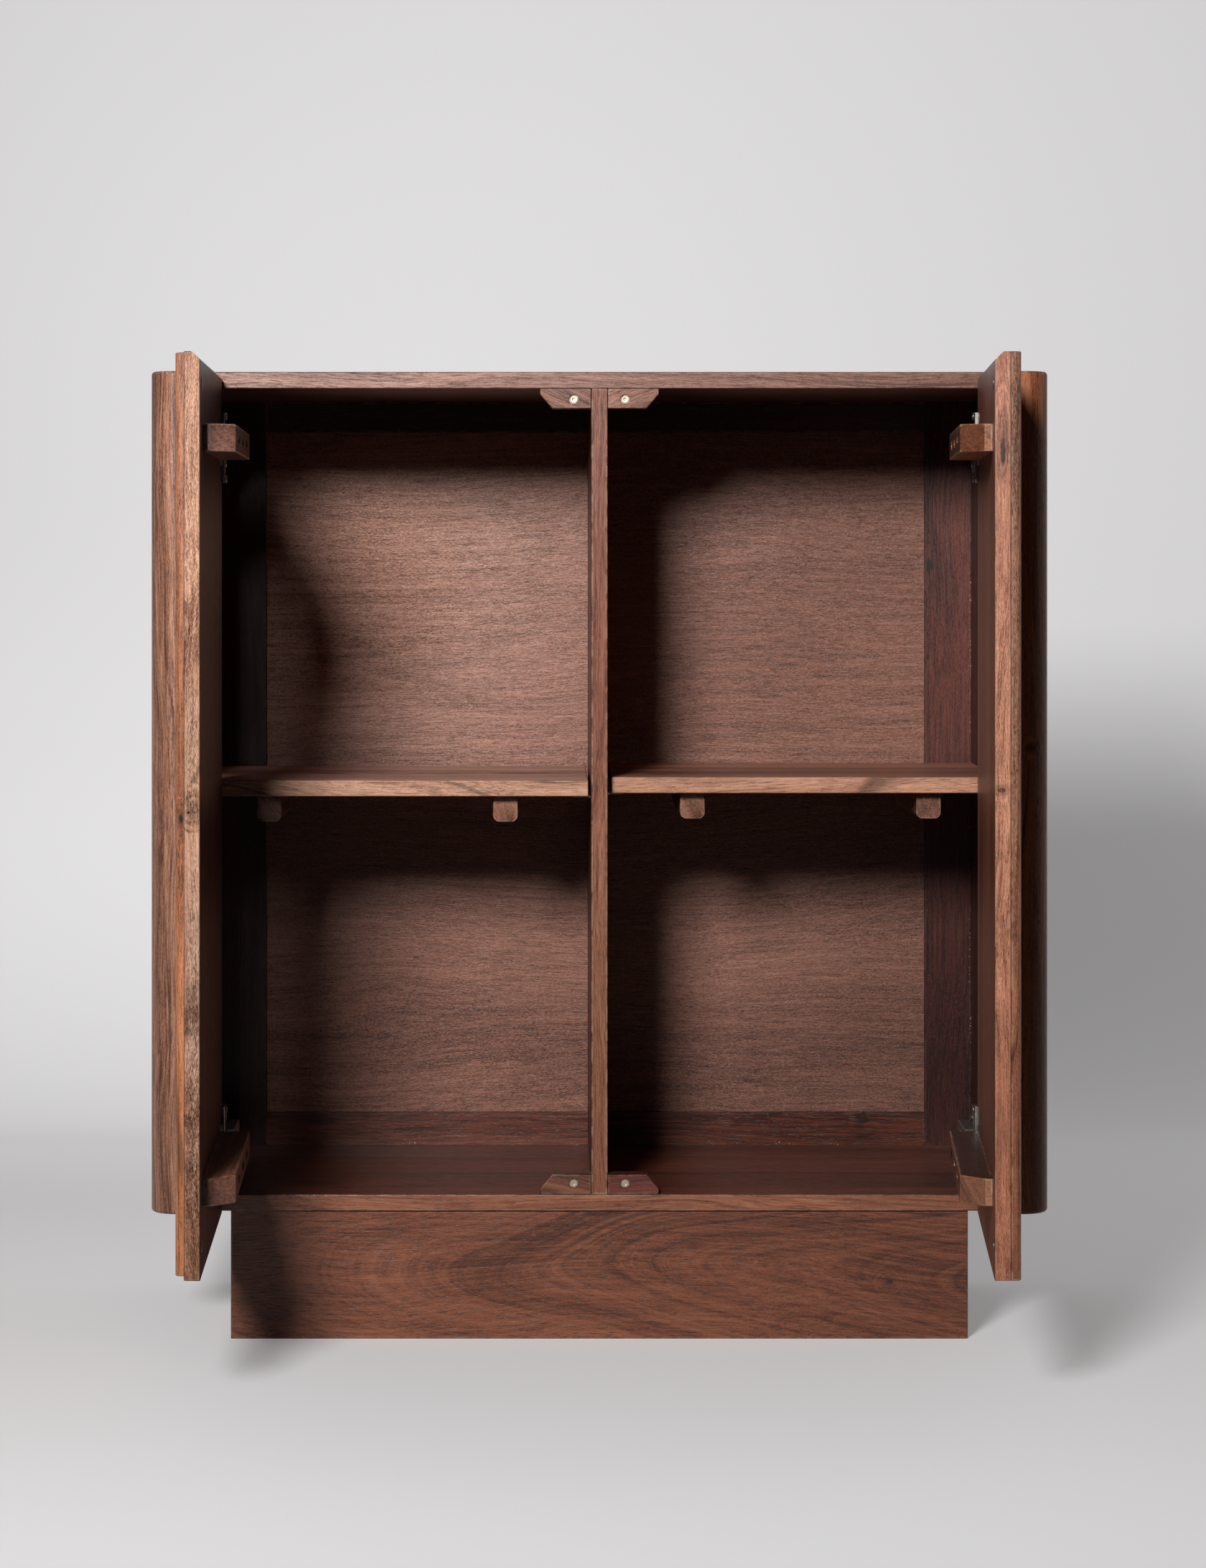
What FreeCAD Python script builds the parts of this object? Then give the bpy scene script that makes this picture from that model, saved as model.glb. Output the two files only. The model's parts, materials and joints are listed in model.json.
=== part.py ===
import FreeCAD, Part
import math
import os
import Sketcher

# Two-door cabinet on a plinth, in millimetres.
# X runs to the right, Y to the back and Z up. The origin is on the floor under the middle of the case.
# The doors are drawn as they stand in the photograph, open at about a right angle.

doc = FreeCAD.newDocument("two_door_cabinet")
sheet = doc.addObject("Spreadsheet::Sheet", "Sizes")


class Size:
    """A number that remembers the formula which gives it from the sheet."""

    def __init__(self, value, formula):
        self.value = value
        self.formula = formula

    def __add__(self, other):
        other = as_size(other)
        return Size(self.value + other.value, f"({self.formula} + {other.formula})")

    def __sub__(self, other):
        other = as_size(other)
        return Size(self.value - other.value, f"({self.formula} - {other.formula})")

    def __mul__(self, other):
        other = as_size(other)
        return Size(self.value * other.value, f"({self.formula} * {other.formula})")

    def __truediv__(self, other):
        other = as_size(other)
        return Size(self.value / other.value, f"({self.formula} / {other.formula})")

    def __neg__(self):
        return Size(-self.value, f"(0 - {self.formula})")

    __rmul__ = __mul__


def as_size(number):
    """Take a plain factor into a formula."""
    return number if isinstance(number, Size) else Size(float(number), f"({number})")


class Sizes:
    """The driving dimensions, one cell of the sheet each."""

    def __init__(self, *tables):
        row = 0
        for table in tables:
            for name, value in table.items():
                row += 1
                sheet.set(f"A{row}", name)
                sheet.set(f"B{row}", str(value))
                sheet.setAlias(f"B{row}", name)
                setattr(self, name, Size(float(value), f"Sizes.{name}"))


# The case: two thick sides with a top, a base and a divider between them
case_sizes = {
    "case_width": 977,
    "case_height": 915,
    "case_depth": 435,
    "side_thickness": 44,
    "side_projection": 27,
    "side_round": 30,
    "side_arris": 4,
    "top_thickness": 18,
    "base_thickness": 18,
    "divider_thickness": 18,
    "board_arris": 1.2,
}

# The framed back and its plywood panel
back_sizes = {
    "back_frame_thickness": 22,
    "back_stile_width": 55,
    "top_rail_width": 36,
    "bottom_rail_width": 39,
    "back_lip": 8,
    "back_rebate": 9,
    "back_panel_thickness": 6,
    "back_panel_play": 0.5,
}

# The plinth and what stiffens it
plinth_sizes = {
    "plinth_height": 140,
    "plinth_side_setback": 86,
    "plinth_setback": 4,
    "plinth_back_setback": 30,
    "plinth_board": 22,
    "plinth_round": 3,
    "corner_block": 42,
    "corner_block_height": 90,
    "plinth_screw_radius": 2.5,
    "plinth_screw_head_radius": 4.5,
    "plinth_screw_head": 4,
    "plinth_screw_bite": 11,
}

# Dowels between the sides and the top and base
dowel_sizes = {
    "dowel_radius": 4,
    "dowel_length": 40,
    "dowel_setback": 45,
}

# Stop blocks with magnets, beside the divider
stop_sizes = {
    "stop_length": 56,
    "stop_height": 22,
    "stop_depth": 22,
    "stop_heel": 6,
    "stop_slope": 13.6,
    "stop_arris": 1.2,
    "magnet_radius": 5,
    "magnet_length": 9,
    "magnet_reach": 19,
    "magnet_drop": 12,
    "strike_radius": 6.5,
    "strike_thickness": 2.4,
    "strike_proud": 0.7,
}

# Shelves, their battens and pins
shelf_sizes = {
    "shelf_thickness": 18,
    "shelf_setback": 25,
    "shelf_back_gap": 36,
    "shelf_side_gap": 2,
    "left_shelf_divider_gap": 2.8,
    "right_shelf_divider_gap": 4.7,
    "shelf_arris": 1.5,
    "left_shelf_rise": 432.5,
    "right_shelf_rise": 436,
    "shelf_batten_width": 27.5,
    "shelf_batten_height": 29,
    "shelf_batten_setback": 20,
    "shelf_batten_side_gap": 67.75,
    "shelf_batten_divider_gap": 80.25,
    "shelf_batten_round": 8,
    "pin_radius": 2.5,
    "pin_depth": 10,
    "divider_pin_depth": 7,
    "pin_tongue_length": 18,
    "pin_tongue_width": 9,
    "pin_tongue_thickness": 3,
    "pin_inset": 42,
}

# The doors: a core board with a thinner face board in front of it
door_sizes = {
    "door_core": 16,
    "door_face": 10,
    "door_inner_gap": 1,
    "door_hinge_gap": 4,
    "door_meeting_gap": 2,
    "door_outer_round": 5,
    "door_inner_round": 3,
    "door_arris": 1.2,
    "finger_channel": 27,
    "bevel_run": 8.5,
    "bevel_drop": 8.5,
    "left_door_angle": 88.4,
    "right_door_angle": 86.3,
}

# Battens across the inside of each door
batten_sizes = {
    "batten_height": 28,
    "batten_projection": 32,
    "batten_far_gap": 45,
    "batten_free_gap": 46,
    "batten_heel": 8,
    "batten_nose": 24,
    "top_batten_drop": 83.5,
    "bottom_batten_rise": 80,
    "batten_arris": 1.5,
    "batten_screw_radius": 2,
    "batten_head_radius": 4,
    "batten_head": 3,
    "batten_counterbore_radius": 5,
    "batten_counterbore": 9,
    "batten_screw_bite": 12,
    "batten_screw_first": 75,
}

# Cup hinges: cup and wing plate on the door, a bent link, and an arm on the side
hinge_sizes = {
    "cup_radius": 17.5,
    "cup_depth": 13,
    "cup_floor": 0.8,
    "cup_centre": 21.5,
    "cup_rim_radius": 20,
    "cup_rim": 1.2,
    "cup_well_half": 16,
    "cup_well_rise": 6.2,
    "wing_length": 76,
    "wing_width": 12,
    "wing_thickness": 4.5,
    "wing_round": 1.6,
    "wing_screw_inset": 4,
    "wing_screw_radius": 2,
    "wing_head_radius": 4.2,
    "wing_head": 2.6,
    "wing_screw_bite": 11,
    "cup_pivot_across": 12.8,
    "cup_pivot_deep": 18.33,
    "arm_pivot_across": 39.97,
    "arm_pivot_back": 4.07,
    "hinge_pin_radius": 1.5,
    "hinge_pin_play": 0.08,
    "hinge_pin_grip": 1.6,
    "link_thickness": 2.4,
    "link_rise": 5.4,
    "link_eye_radius": 2.8,
    "link_knee_across": 6,
    "link_knee_in": 1.45,
    "link_crook_across": 12.4,
    "link_crook_out": 0.3,
    "arm_front": 0.6,
    "arm_length": 80,
    "arm_outer": 46,
    "arm_seat": 33,
    "arm_rise": 9,
    "arm_wall": 2,
    "arm_web_setback": 12,
    "arm_round": 1,
    "plate_thickness": 3,
    "plate_wing_rise": 24,
    "plate_wing_width": 20,
    "plate_wing_setback": 34,
    "plate_seat_play": 0.4,
    "plate_seat_length": 40,
    "plate_screw_spread": 16,
    "plate_screw_radius": 2,
    "plate_head_radius": 4,
    "plate_head": 2,
    "plate_screw_bite": 16,
    "arm_screw_radius": 2.2,
    "arm_head_radius": 4.2,
    "arm_head": 1.8,
    "hinge_block_front": 12,
    "hinge_block_length": 73,
    "hinge_block_rise": 26,
}

size = Sizes(case_sizes, back_sizes, plinth_sizes, dowel_sizes, stop_sizes,
             shelf_sizes, door_sizes, batten_sizes, hinge_sizes)

# The doors turn four thirds as far on their cup pins as they do in the room,
# because each link turns back by a third of the door's own turn.
link_turn_share = -1 / 3

# Planes that several pieces share
half_width = size.case_width / 2
inner_half = half_width - size.side_thickness
case_bottom = size.plinth_height
case_top = size.plinth_height + size.case_height
base_top = case_bottom + size.base_thickness
top_under = case_top - size.top_thickness
case_front = -size.case_depth / 2
case_back = size.case_depth / 2
edge_plane = case_front + size.side_projection
frame_face = case_back - size.back_frame_thickness
divider_face = size.divider_thickness / 2
door_thickness = size.door_core + size.door_face
door_width = inner_half - size.door_hinge_gap - size.door_meeting_gap / 2
hinge_heights = (case_top - size.top_batten_drop, case_bottom + size.bottom_batten_rise)
zero = Size(0.0, "0")

HANDS = (("left", -1), ("right", 1))
NORMAL_SIGN = {"XY": 1, "XZ": -1, "YZ": 1}


def plane_of(body, name):
    """One of the body's own origin planes."""
    return next(item for item in body.Origin.OriginFeatures if item.Role == name + "_Plane")


def new_sketch(body, plane, level):
    """An empty sketch on an origin plane, moved to the named level along that plane's axis."""
    sketch = body.newObject("Sketcher::SketchObject", "Sketch")
    sketch.AttachmentSupport = [(plane_of(body, plane), "")]
    sketch.MapMode = "FlatFace"
    offset = level * NORMAL_SIGN[plane]
    sketch.AttachmentOffset = FreeCAD.Placement(FreeCAD.Vector(0, 0, offset.value), FreeCAD.Rotation())
    sketch.setExpression("AttachmentOffset.Base.z", offset.formula)
    return sketch


def tie(sketch, kind, geometry, point, distance):
    """Bind the distance of a sketch point from the sketch origin to its formula."""
    row = sketch.addConstraint(Sketcher.Constraint(kind, -1, 1, geometry, point, distance.value))
    sketch.setExpression(f"Constraints[{row}]", distance.formula)


def draw_polygon(sketch, points):
    """A closed outline whose corners are bound to their formulas."""
    corners = [FreeCAD.Vector(across.value, up.value, 0) for across, up in points]
    first = sketch.GeometryCount
    count = len(corners)
    for index, corner in enumerate(corners):
        sketch.addGeometry(Part.LineSegment(corner, corners[(index + 1) % count]), False)
    for index in range(count):
        following = first + (index + 1) % count
        sketch.addConstraint(Sketcher.Constraint("Coincident", first + index, 2, following, 1))
    for index, (across, up) in enumerate(points):
        tie(sketch, "DistanceX", first + index, 1, across)
        tie(sketch, "DistanceY", first + index, 1, up)


def draw_circle(sketch, centre, radius):
    """A circle bound to its centre and radius."""
    middle = FreeCAD.Vector(centre[0].value, centre[1].value, 0)
    index = sketch.addGeometry(Part.Circle(middle, FreeCAD.Vector(0, 0, 1), radius.value), False)
    tie(sketch, "DistanceX", index, 3, centre[0])
    tie(sketch, "DistanceY", index, 3, centre[1])
    row = sketch.addConstraint(Sketcher.Constraint("Radius", index, radius.value))
    sketch.setExpression(f"Constraints[{row}]", radius.formula)


def in_order(start, stop):
    """The two levels, lower one first."""
    return (start, stop) if start.value < stop.value else (stop, start)


def rectangle(low, high):
    """Corners of an upright rectangle."""
    return [low, (high[0], low[1]), high, (low[0], high[1])]


def new_body(label):
    body = doc.addObject("PartDesign::Body", label)
    body.Label = label
    return body


def pad(body, plane, start, stop, polygon=None, circles=()):
    """Add material between two levels."""
    low, high = in_order(start, stop)
    sketch = new_sketch(body, plane, low if NORMAL_SIGN[plane] > 0 else high)
    if polygon:
        draw_polygon(sketch, polygon)
    for centre, radius in circles:
        draw_circle(sketch, centre, radius)
    feature = body.newObject("PartDesign::Pad", "Pad")
    feature.Profile = sketch
    feature.Length = (high - low).value
    feature.setExpression("Length", (high - low).formula)
    doc.recompute()
    return body


def cut(body, plane, start, stop, polygon=None, circles=()):
    """Take material away between two levels, and see that it went."""
    before = body.Shape.Volume
    low, high = in_order(start, stop)
    sketch = new_sketch(body, plane, high if NORMAL_SIGN[plane] > 0 else low)
    if polygon:
        draw_polygon(sketch, polygon)
    for centre, radius in circles:
        draw_circle(sketch, centre, radius)
    feature = body.newObject("PartDesign::Pocket", "Pocket")
    feature.Profile = sketch
    feature.Length = (high - low).value
    feature.setExpression("Length", (high - low).formula)
    doc.recompute()
    if not body.Shape.Volume < before:
        raise RuntimeError(f"a cut in {body.Label} removed nothing")
    return body


def prism(label, plane, points, start, stop):
    """A board or block: one outline padded between two levels."""
    return pad(new_body(label), plane, start, stop, polygon=points)


def board(label, low, high):
    """A plain rectangular board between two corners."""
    return prism(label, "XY", rectangle((low[0], low[1]), (high[0], high[1])), low[2], high[2])


def soften(body, radius, wanted):
    """Round those edges of the body that the test accepts."""
    base = body.Tip
    names = [f"Edge{number + 1}" for number, edge in enumerate(base.Shape.Edges) if wanted(edge)]
    if not names:
        raise RuntimeError(f"no edge of {body.Label} to round")
    feature = body.newObject("PartDesign::Fillet", "Fillet")
    feature.Base = (base, names)
    feature.Radius = radius.value
    feature.setExpression("Radius", radius.formula)
    body.Tip = feature
    doc.recompute()
    return body


def lies_at(edge, axis, level, slack=0.01):
    """Whether an edge lies wholly at one level of an axis, 0 for X, 1 for Y and 2 for Z."""
    return all(abs(vertex.Point[axis] - level.value) < slack for vertex in edge.Vertexes)


def runs_along(edge, axis):
    """Whether a straight edge runs along an axis."""
    if len(edge.Vertexes) != 2:
        return False
    step = edge.Vertexes[1].Point - edge.Vertexes[0].Point
    return abs(abs(step[axis]) - step.Length) < 0.001 * step.Length


# Cylinders point along Z until they are turned.
TURN_TO = {
    "X": FreeCAD.Rotation(FreeCAD.Vector(0, 1, 0), 90),
    "Y": FreeCAD.Rotation(FreeCAD.Vector(1, 0, 0), -90),
    "Z": FreeCAD.Rotation(),
}


def rod(axis, start, stop, centre, radius):
    """A cylinder along an axis, between two levels; centre gives its other two coordinates in order."""
    low, high = in_order(start, stop)
    places = list(centre)
    places.insert("XYZ".index(axis), low)
    cylinder = doc.addObject("Part::Cylinder", "Rod")
    cylinder.setExpression("Radius", radius.formula)
    cylinder.setExpression("Height", (high - low).formula)
    cylinder.Placement = FreeCAD.Placement(FreeCAD.Vector(*(p.value for p in places)), TURN_TO[axis])
    for name, place in zip("xyz", places):
        cylinder.setExpression(f"Placement.Base.{name}", place.formula)
    return cylinder


def joined(*pieces):
    """Several solids that make one piece."""
    fuse = doc.addObject("Part::MultiFuse", "Joined")
    fuse.Shapes = list(pieces)
    return fuse


def group(label, members):
    """Like pieces that share one name."""
    compound = doc.addObject("Part::Compound", label)
    compound.Label = label
    compound.Links = list(members)
    return compound


parts = {}


def keep(piece, placement=None):
    """Put a finished piece among the parts, and where it stands."""
    doc.recompute()
    if placement is not None:
        piece.Placement = placement
    parts[piece.Label] = piece
    return piece


def make_sides():
    dowel_places = [(edge_plane + size.dowel_setback, level) for level in dowel_levels()]
    dowel_places += [(zero, level) for level in dowel_levels()]
    dowel_places += [(frame_face - size.dowel_setback, level) for level in dowel_levels()]
    for hand, sign in HANDS:
        inner = inner_half * sign
        outer = half_width * sign
        side = board(f"{hand}_side_panel", (inner, case_front, case_bottom), (outer, case_back, case_top))
        soften(side, size.side_round,
               lambda edge: runs_along(edge, 2) and lies_at(edge, 0, outer) and lies_at(edge, 1, case_front))
        soften(side, size.side_arris, lambda edge: side_end_edge(edge, inner, outer))
        cut(side, "YZ", inner, inner + size.dowel_length / 2 * sign,
            circles=[(place, size.dowel_radius) for place in dowel_places])
        keep(side)
    dowels = []
    for hand, sign in HANDS:
        for place in dowel_places:
            reach = size.dowel_length / 2
            dowels.append(rod("X", inner_half * sign - reach, inner_half * sign + reach, place,
                              size.dowel_radius))
    keep(group("case_dowels", dowels))
    return dowel_places


def side_end_edge(edge, inner, outer):
    """The edges round a side's ends, and its back corner, but none that meets the boards."""
    end = lies_at(edge, 2, case_top) or lies_at(edge, 2, case_bottom)
    corner = runs_along(edge, 2) and lies_at(edge, 0, outer) and lies_at(edge, 1, case_back)
    return (end or corner) and not lies_at(edge, 0, inner)


def dowel_levels():
    return (case_top - size.top_thickness / 2, case_bottom + size.base_thickness / 2)


def make_top_and_base(dowel_places):
    for label, low, high in (("top_panel", top_under, case_top), ("base_panel", case_bottom, base_top)):
        panel = board(label, (-inner_half, edge_plane, low), (inner_half, case_back, high))
        soften(panel, size.board_arris, lambda edge: runs_along(edge, 0) and lies_at(edge, 1, edge_plane))
        own = [place for place in dowel_places if low.value < place[1].value < high.value]
        for hand, sign in HANDS:
            end = inner_half * sign
            cut(panel, "YZ", end, end - size.dowel_length / 2 * sign,
                circles=[(place, size.dowel_radius) for place in own])
        if label == "base_panel":
            cut(panel, "XY", case_bottom, case_bottom + size.plinth_screw_bite,
                circles=[(place, size.plinth_screw_radius) for place in plinth_screw_places()])
        keep(panel)


def make_divider():
    divider = board("centre_divider", (-divider_face, edge_plane, base_top),
                    (divider_face, frame_face, top_under))
    soften(divider, size.board_arris, lambda edge: runs_along(edge, 2) and lies_at(edge, 1, edge_plane))
    for (hand, sign), height in zip(HANDS, shelf_heights()):
        wall = divider_face * sign
        cut(divider, "YZ", wall, wall - size.divider_pin_depth * sign, circles=pin_holes(height))
    keep(divider)


def shelf_heights():
    """Underside of the left and of the right shelf."""
    return (base_top + size.left_shelf_rise, base_top + size.right_shelf_rise)


def divider_gap(hand):
    """Clearance between the divider and the end of the shelf."""
    return size.left_shelf_divider_gap if hand == "left" else size.right_shelf_divider_gap


def pin_lines():
    """Where the front and back pins stand, along Y."""
    front, back = shelf_edges()
    return (front + size.pin_inset, back - size.pin_inset)


def shelf_edges():
    """The front and back edges of the shelves, along Y."""
    return (edge_plane + size.shelf_setback, frame_face - size.shelf_back_gap)


def pin_holes(height):
    """The holes of one upright for the pins of the shelf at this height."""
    middle = height - size.pin_tongue_thickness / 2
    return [((line, middle), size.pin_radius) for line in pin_lines()]


def make_back():
    lip = frame_face + size.back_lip
    stile_inner = inner_half - size.back_stile_width
    for hand, sign in HANDS:
        points = [
            (stile_inner * sign, frame_face),
            (inner_half * sign, frame_face),
            (inner_half * sign, case_back),
            ((stile_inner + size.back_rebate) * sign, case_back),
            ((stile_inner + size.back_rebate) * sign, lip),
            (stile_inner * sign, lip),
        ]
        keep(prism(f"back_stile_{hand}", "XY", points, base_top, top_under))
    rails = (("back_rail_bottom", base_top, base_top + size.bottom_rail_width, -size.back_rebate),
             ("back_rail_top", top_under, top_under - size.top_rail_width, size.back_rebate))
    for label, foot, crest, rebate in rails:
        points = [
            (frame_face, foot),
            (case_back, foot),
            (case_back, crest + rebate),
            (lip, crest + rebate),
            (lip, crest),
            (frame_face, crest),
        ]
        keep(prism(label, "YZ", points, -stile_inner, stile_inner))
    lap = size.back_rebate - size.back_panel_play
    panel = board(
        "back_panel",
        (-(stile_inner + lap), lip, base_top + size.bottom_rail_width - lap),
        (stile_inner + lap, lip + size.back_panel_thickness, top_under - size.top_rail_width + lap))
    keep(panel)


def plinth_bounds():
    half = half_width - size.plinth_side_setback
    return half, edge_plane + size.plinth_setback, case_back - size.plinth_back_setback


def corner_block_corners():
    """Inner corner of the plinth boards that each block sits in, with the way into the plinth."""
    half, front, back = plinth_bounds()
    inner = half - size.plinth_board
    return [(inner * sign, -sign, front + size.plinth_board, 1) for sign in (-1, 1)] + \
           [(inner * sign, -sign, back - size.plinth_board, -1) for sign in (-1, 1)]


def plinth_screw_places():
    reach = size.corner_block / 2
    return [(x + reach * into_x, y + reach * into_y) for x, into_x, y, into_y in corner_block_corners()]


def make_plinth():
    half, front, back = plinth_bounds()
    boards = (("plinth_front", front, front + size.plinth_board, front),
              ("plinth_back", back - size.plinth_board, back, back))
    for label, near, far, face in boards:
        plank = board(label, (-half, near, zero), (half, far, case_bottom))
        soften(plank, size.plinth_round, lambda edge: runs_along(edge, 2) and lies_at(edge, 1, face))
        keep(plank)
    for hand, sign in HANDS:
        inner = (half - size.plinth_board) * sign
        keep(board(f"plinth_{hand}_end", (inner, front + size.plinth_board, zero),
                   (half * sign, back - size.plinth_board, case_bottom)))
    keep(board("plinth_centre_rail", (-size.plinth_board / 2, front + size.plinth_board, zero),
               (size.plinth_board / 2, back - size.plinth_board, case_bottom)))
    blocks = []
    screws = []
    foot = case_bottom - size.corner_block_height
    for number, (x, into_x, y, into_y) in enumerate(corner_block_corners()):
        far_x = x + size.corner_block * into_x
        far_y = y + size.corner_block * into_y
        block = board(f"corner_block_{number + 1}", (x, y, foot), (far_x, far_y, case_bottom))
        place = plinth_screw_places()[number]
        seat = foot + size.plinth_screw_head
        cut(block, "XY", foot, seat, circles=[(place, size.plinth_screw_head_radius)])
        cut(block, "XY", seat, case_bottom, circles=[(place, size.plinth_screw_radius)])
        blocks.append(block)
        head = rod("Z", foot, seat, place, size.plinth_screw_head_radius)
        shank = rod("Z", seat, case_bottom + size.plinth_screw_bite, place, size.plinth_screw_radius)
        screws.append(joined(head, shank))
    keep(group("plinth_corner_blocks", blocks))
    keep(group("plinth_screws", screws))


def make_stops():
    """Blocks beside the divider that stop the doors and hold their magnets."""
    magnets = []
    for hand, sign in HANDS:
        for label, surface, away in (("top", top_under, -1), ("bottom", base_top, 1)):
            near = divider_face * sign
            far = (divider_face + size.stop_length) * sign
            points = [
                (near, surface),
                (far, surface),
                (far, surface + size.stop_heel * away),
                (far - size.stop_slope * sign, surface + size.stop_height * away),
                (near, surface + size.stop_height * away),
            ]
            stop = prism(f"{label}_{hand}_stop", "XZ", points, edge_plane, edge_plane + size.stop_depth)
            soften(stop, size.stop_arris, lambda edge: lies_at(edge, 1, edge_plane)
                   and not lies_at(edge, 2, surface) and not lies_at(edge, 0, near))
            place = ((divider_face + size.magnet_reach) * sign, surface + size.magnet_drop * away)
            bottom_of_hole = edge_plane + size.magnet_length
            cut(stop, "XZ", edge_plane, bottom_of_hole, circles=[(place, size.magnet_radius)])
            keep(stop)
            magnets.append(rod("Y", edge_plane, bottom_of_hole, place, size.magnet_radius))
    keep(group("catch_magnets", magnets))


def make_shelves():
    front, back = shelf_edges()
    half = size.shelf_batten_width / 2
    outer = inner_half - size.shelf_batten_side_gap - half
    inner = divider_face + size.shelf_batten_divider_gap + half
    for (hand, sign), height in zip(HANDS, shelf_heights()):
        near = (divider_face + divider_gap(hand)) * sign
        far = (inner_half - size.shelf_side_gap) * sign
        shelf = board(f"{hand}_shelf", (near, front, height), (far, back, height + size.shelf_thickness))
        soften(shelf, size.shelf_arris, lambda edge: True)
        keep(shelf)
        for place, middle in (("outer", outer), ("inner", inner)):
            batten = board(f"{hand}_shelf_{place}_batten",
                           (middle * sign - half, front + size.shelf_batten_setback,
                            height - size.shelf_batten_height),
                           (middle * sign + half, back - size.shelf_batten_setback, height))
            soften(batten, size.shelf_batten_round,
                   lambda edge: runs_along(edge, 1) and lies_at(edge, 2, height - size.shelf_batten_height))
            keep(batten)
        keep(group(f"{hand}_shelf_pins", shelf_pins(hand, sign, height)))


def shelf_pins(hand, sign, height):
    """Four pins for one shelf: a stem in the upright and a flat tongue under the shelf's end."""
    pins = []
    walls = ((divider_face * sign, sign, size.divider_pin_depth, divider_gap(hand)),
             (inner_half * sign, -sign, size.pin_depth, size.shelf_side_gap))
    middle = height - size.pin_tongue_thickness / 2
    for wall, inward, depth, gap in walls:
        for line in pin_lines():
            stem = rod("X", wall - depth * inward, wall + gap * inward, (line, middle), size.pin_radius)
            half = size.pin_tongue_width / 2
            low, high = in_order(wall + gap / 2 * inward, wall + size.pin_tongue_length * inward)
            tongue = doc.addObject("Part::Box", "Tongue")
            tongue.setExpression("Length", (high - low).formula)
            tongue.setExpression("Width", size.pin_tongue_width.formula)
            tongue.setExpression("Height", size.pin_tongue_thickness.formula)
            places = (low, line - half, height - size.pin_tongue_thickness)
            for name, place in zip("xyz", places):
                tongue.setExpression(f"Placement.Base.{name}", place.formula)
            pins.append(joined(stem, tongue))
    return pins


def drill_pin_holes_in_sides():
    for (hand, sign), height in zip(HANDS, shelf_heights()):
        side = parts[f"{hand}_side_panel"]
        inner = inner_half * sign
        cut(side, "YZ", inner, inner + size.pin_depth * sign, circles=pin_holes(height))


class Leaf:
    """Where one door stands, and how its own measures run.

    A place on a door is given by u, from the hinge edge towards the middle of the cabinet,
    and v, from the outside of the door inwards. The door's pieces are drawn about the pin
    in its hinge cups, as if it were shut, and then turned.
    """

    def __init__(self, hand, sign, angle):
        self.hand = hand
        self.sign = sign
        self.turn = math.radians(angle.value)
        closed_outside = edge_plane - size.door_inner_gap - door_thickness
        shut_pin = self.room(size.door_hinge_gap + size.cup_pivot_across,
                             closed_outside + size.cup_pivot_deep)
        self.arm_pin = self.room(size.arm_pivot_across, edge_plane + size.arm_pivot_back)
        self.shut_reach = shut_pin - self.arm_pin
        degrees = math.degrees(self.turn) * sign
        self.link_rotation = FreeCAD.Rotation(FreeCAD.Vector(0, 0, 1), degrees * link_turn_share)
        door_rotation = FreeCAD.Rotation(FreeCAD.Vector(0, 0, 1), degrees)
        self.cup_pin = self.arm_pin + self.link_rotation.multVec(self.shut_reach)
        self.door_place = FreeCAD.Placement(self.cup_pin, door_rotation)
        self.link_place = FreeCAD.Placement(self.arm_pin, self.link_rotation)

    def room(self, from_side, depth):
        """A point in the room, from a distance to the side panel's inner face and a place along Y."""
        return FreeCAD.Vector((inner_half - from_side).value * self.sign, depth.value, 0)

    def across(self, distance):
        """Across the door, from its hinge edge, as drawn about the pin."""
        return (distance - size.cup_pivot_across) * -self.sign

    def deep(self, distance):
        """Into the door from its outside, as drawn about the pin."""
        return distance - size.cup_pivot_deep


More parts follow.
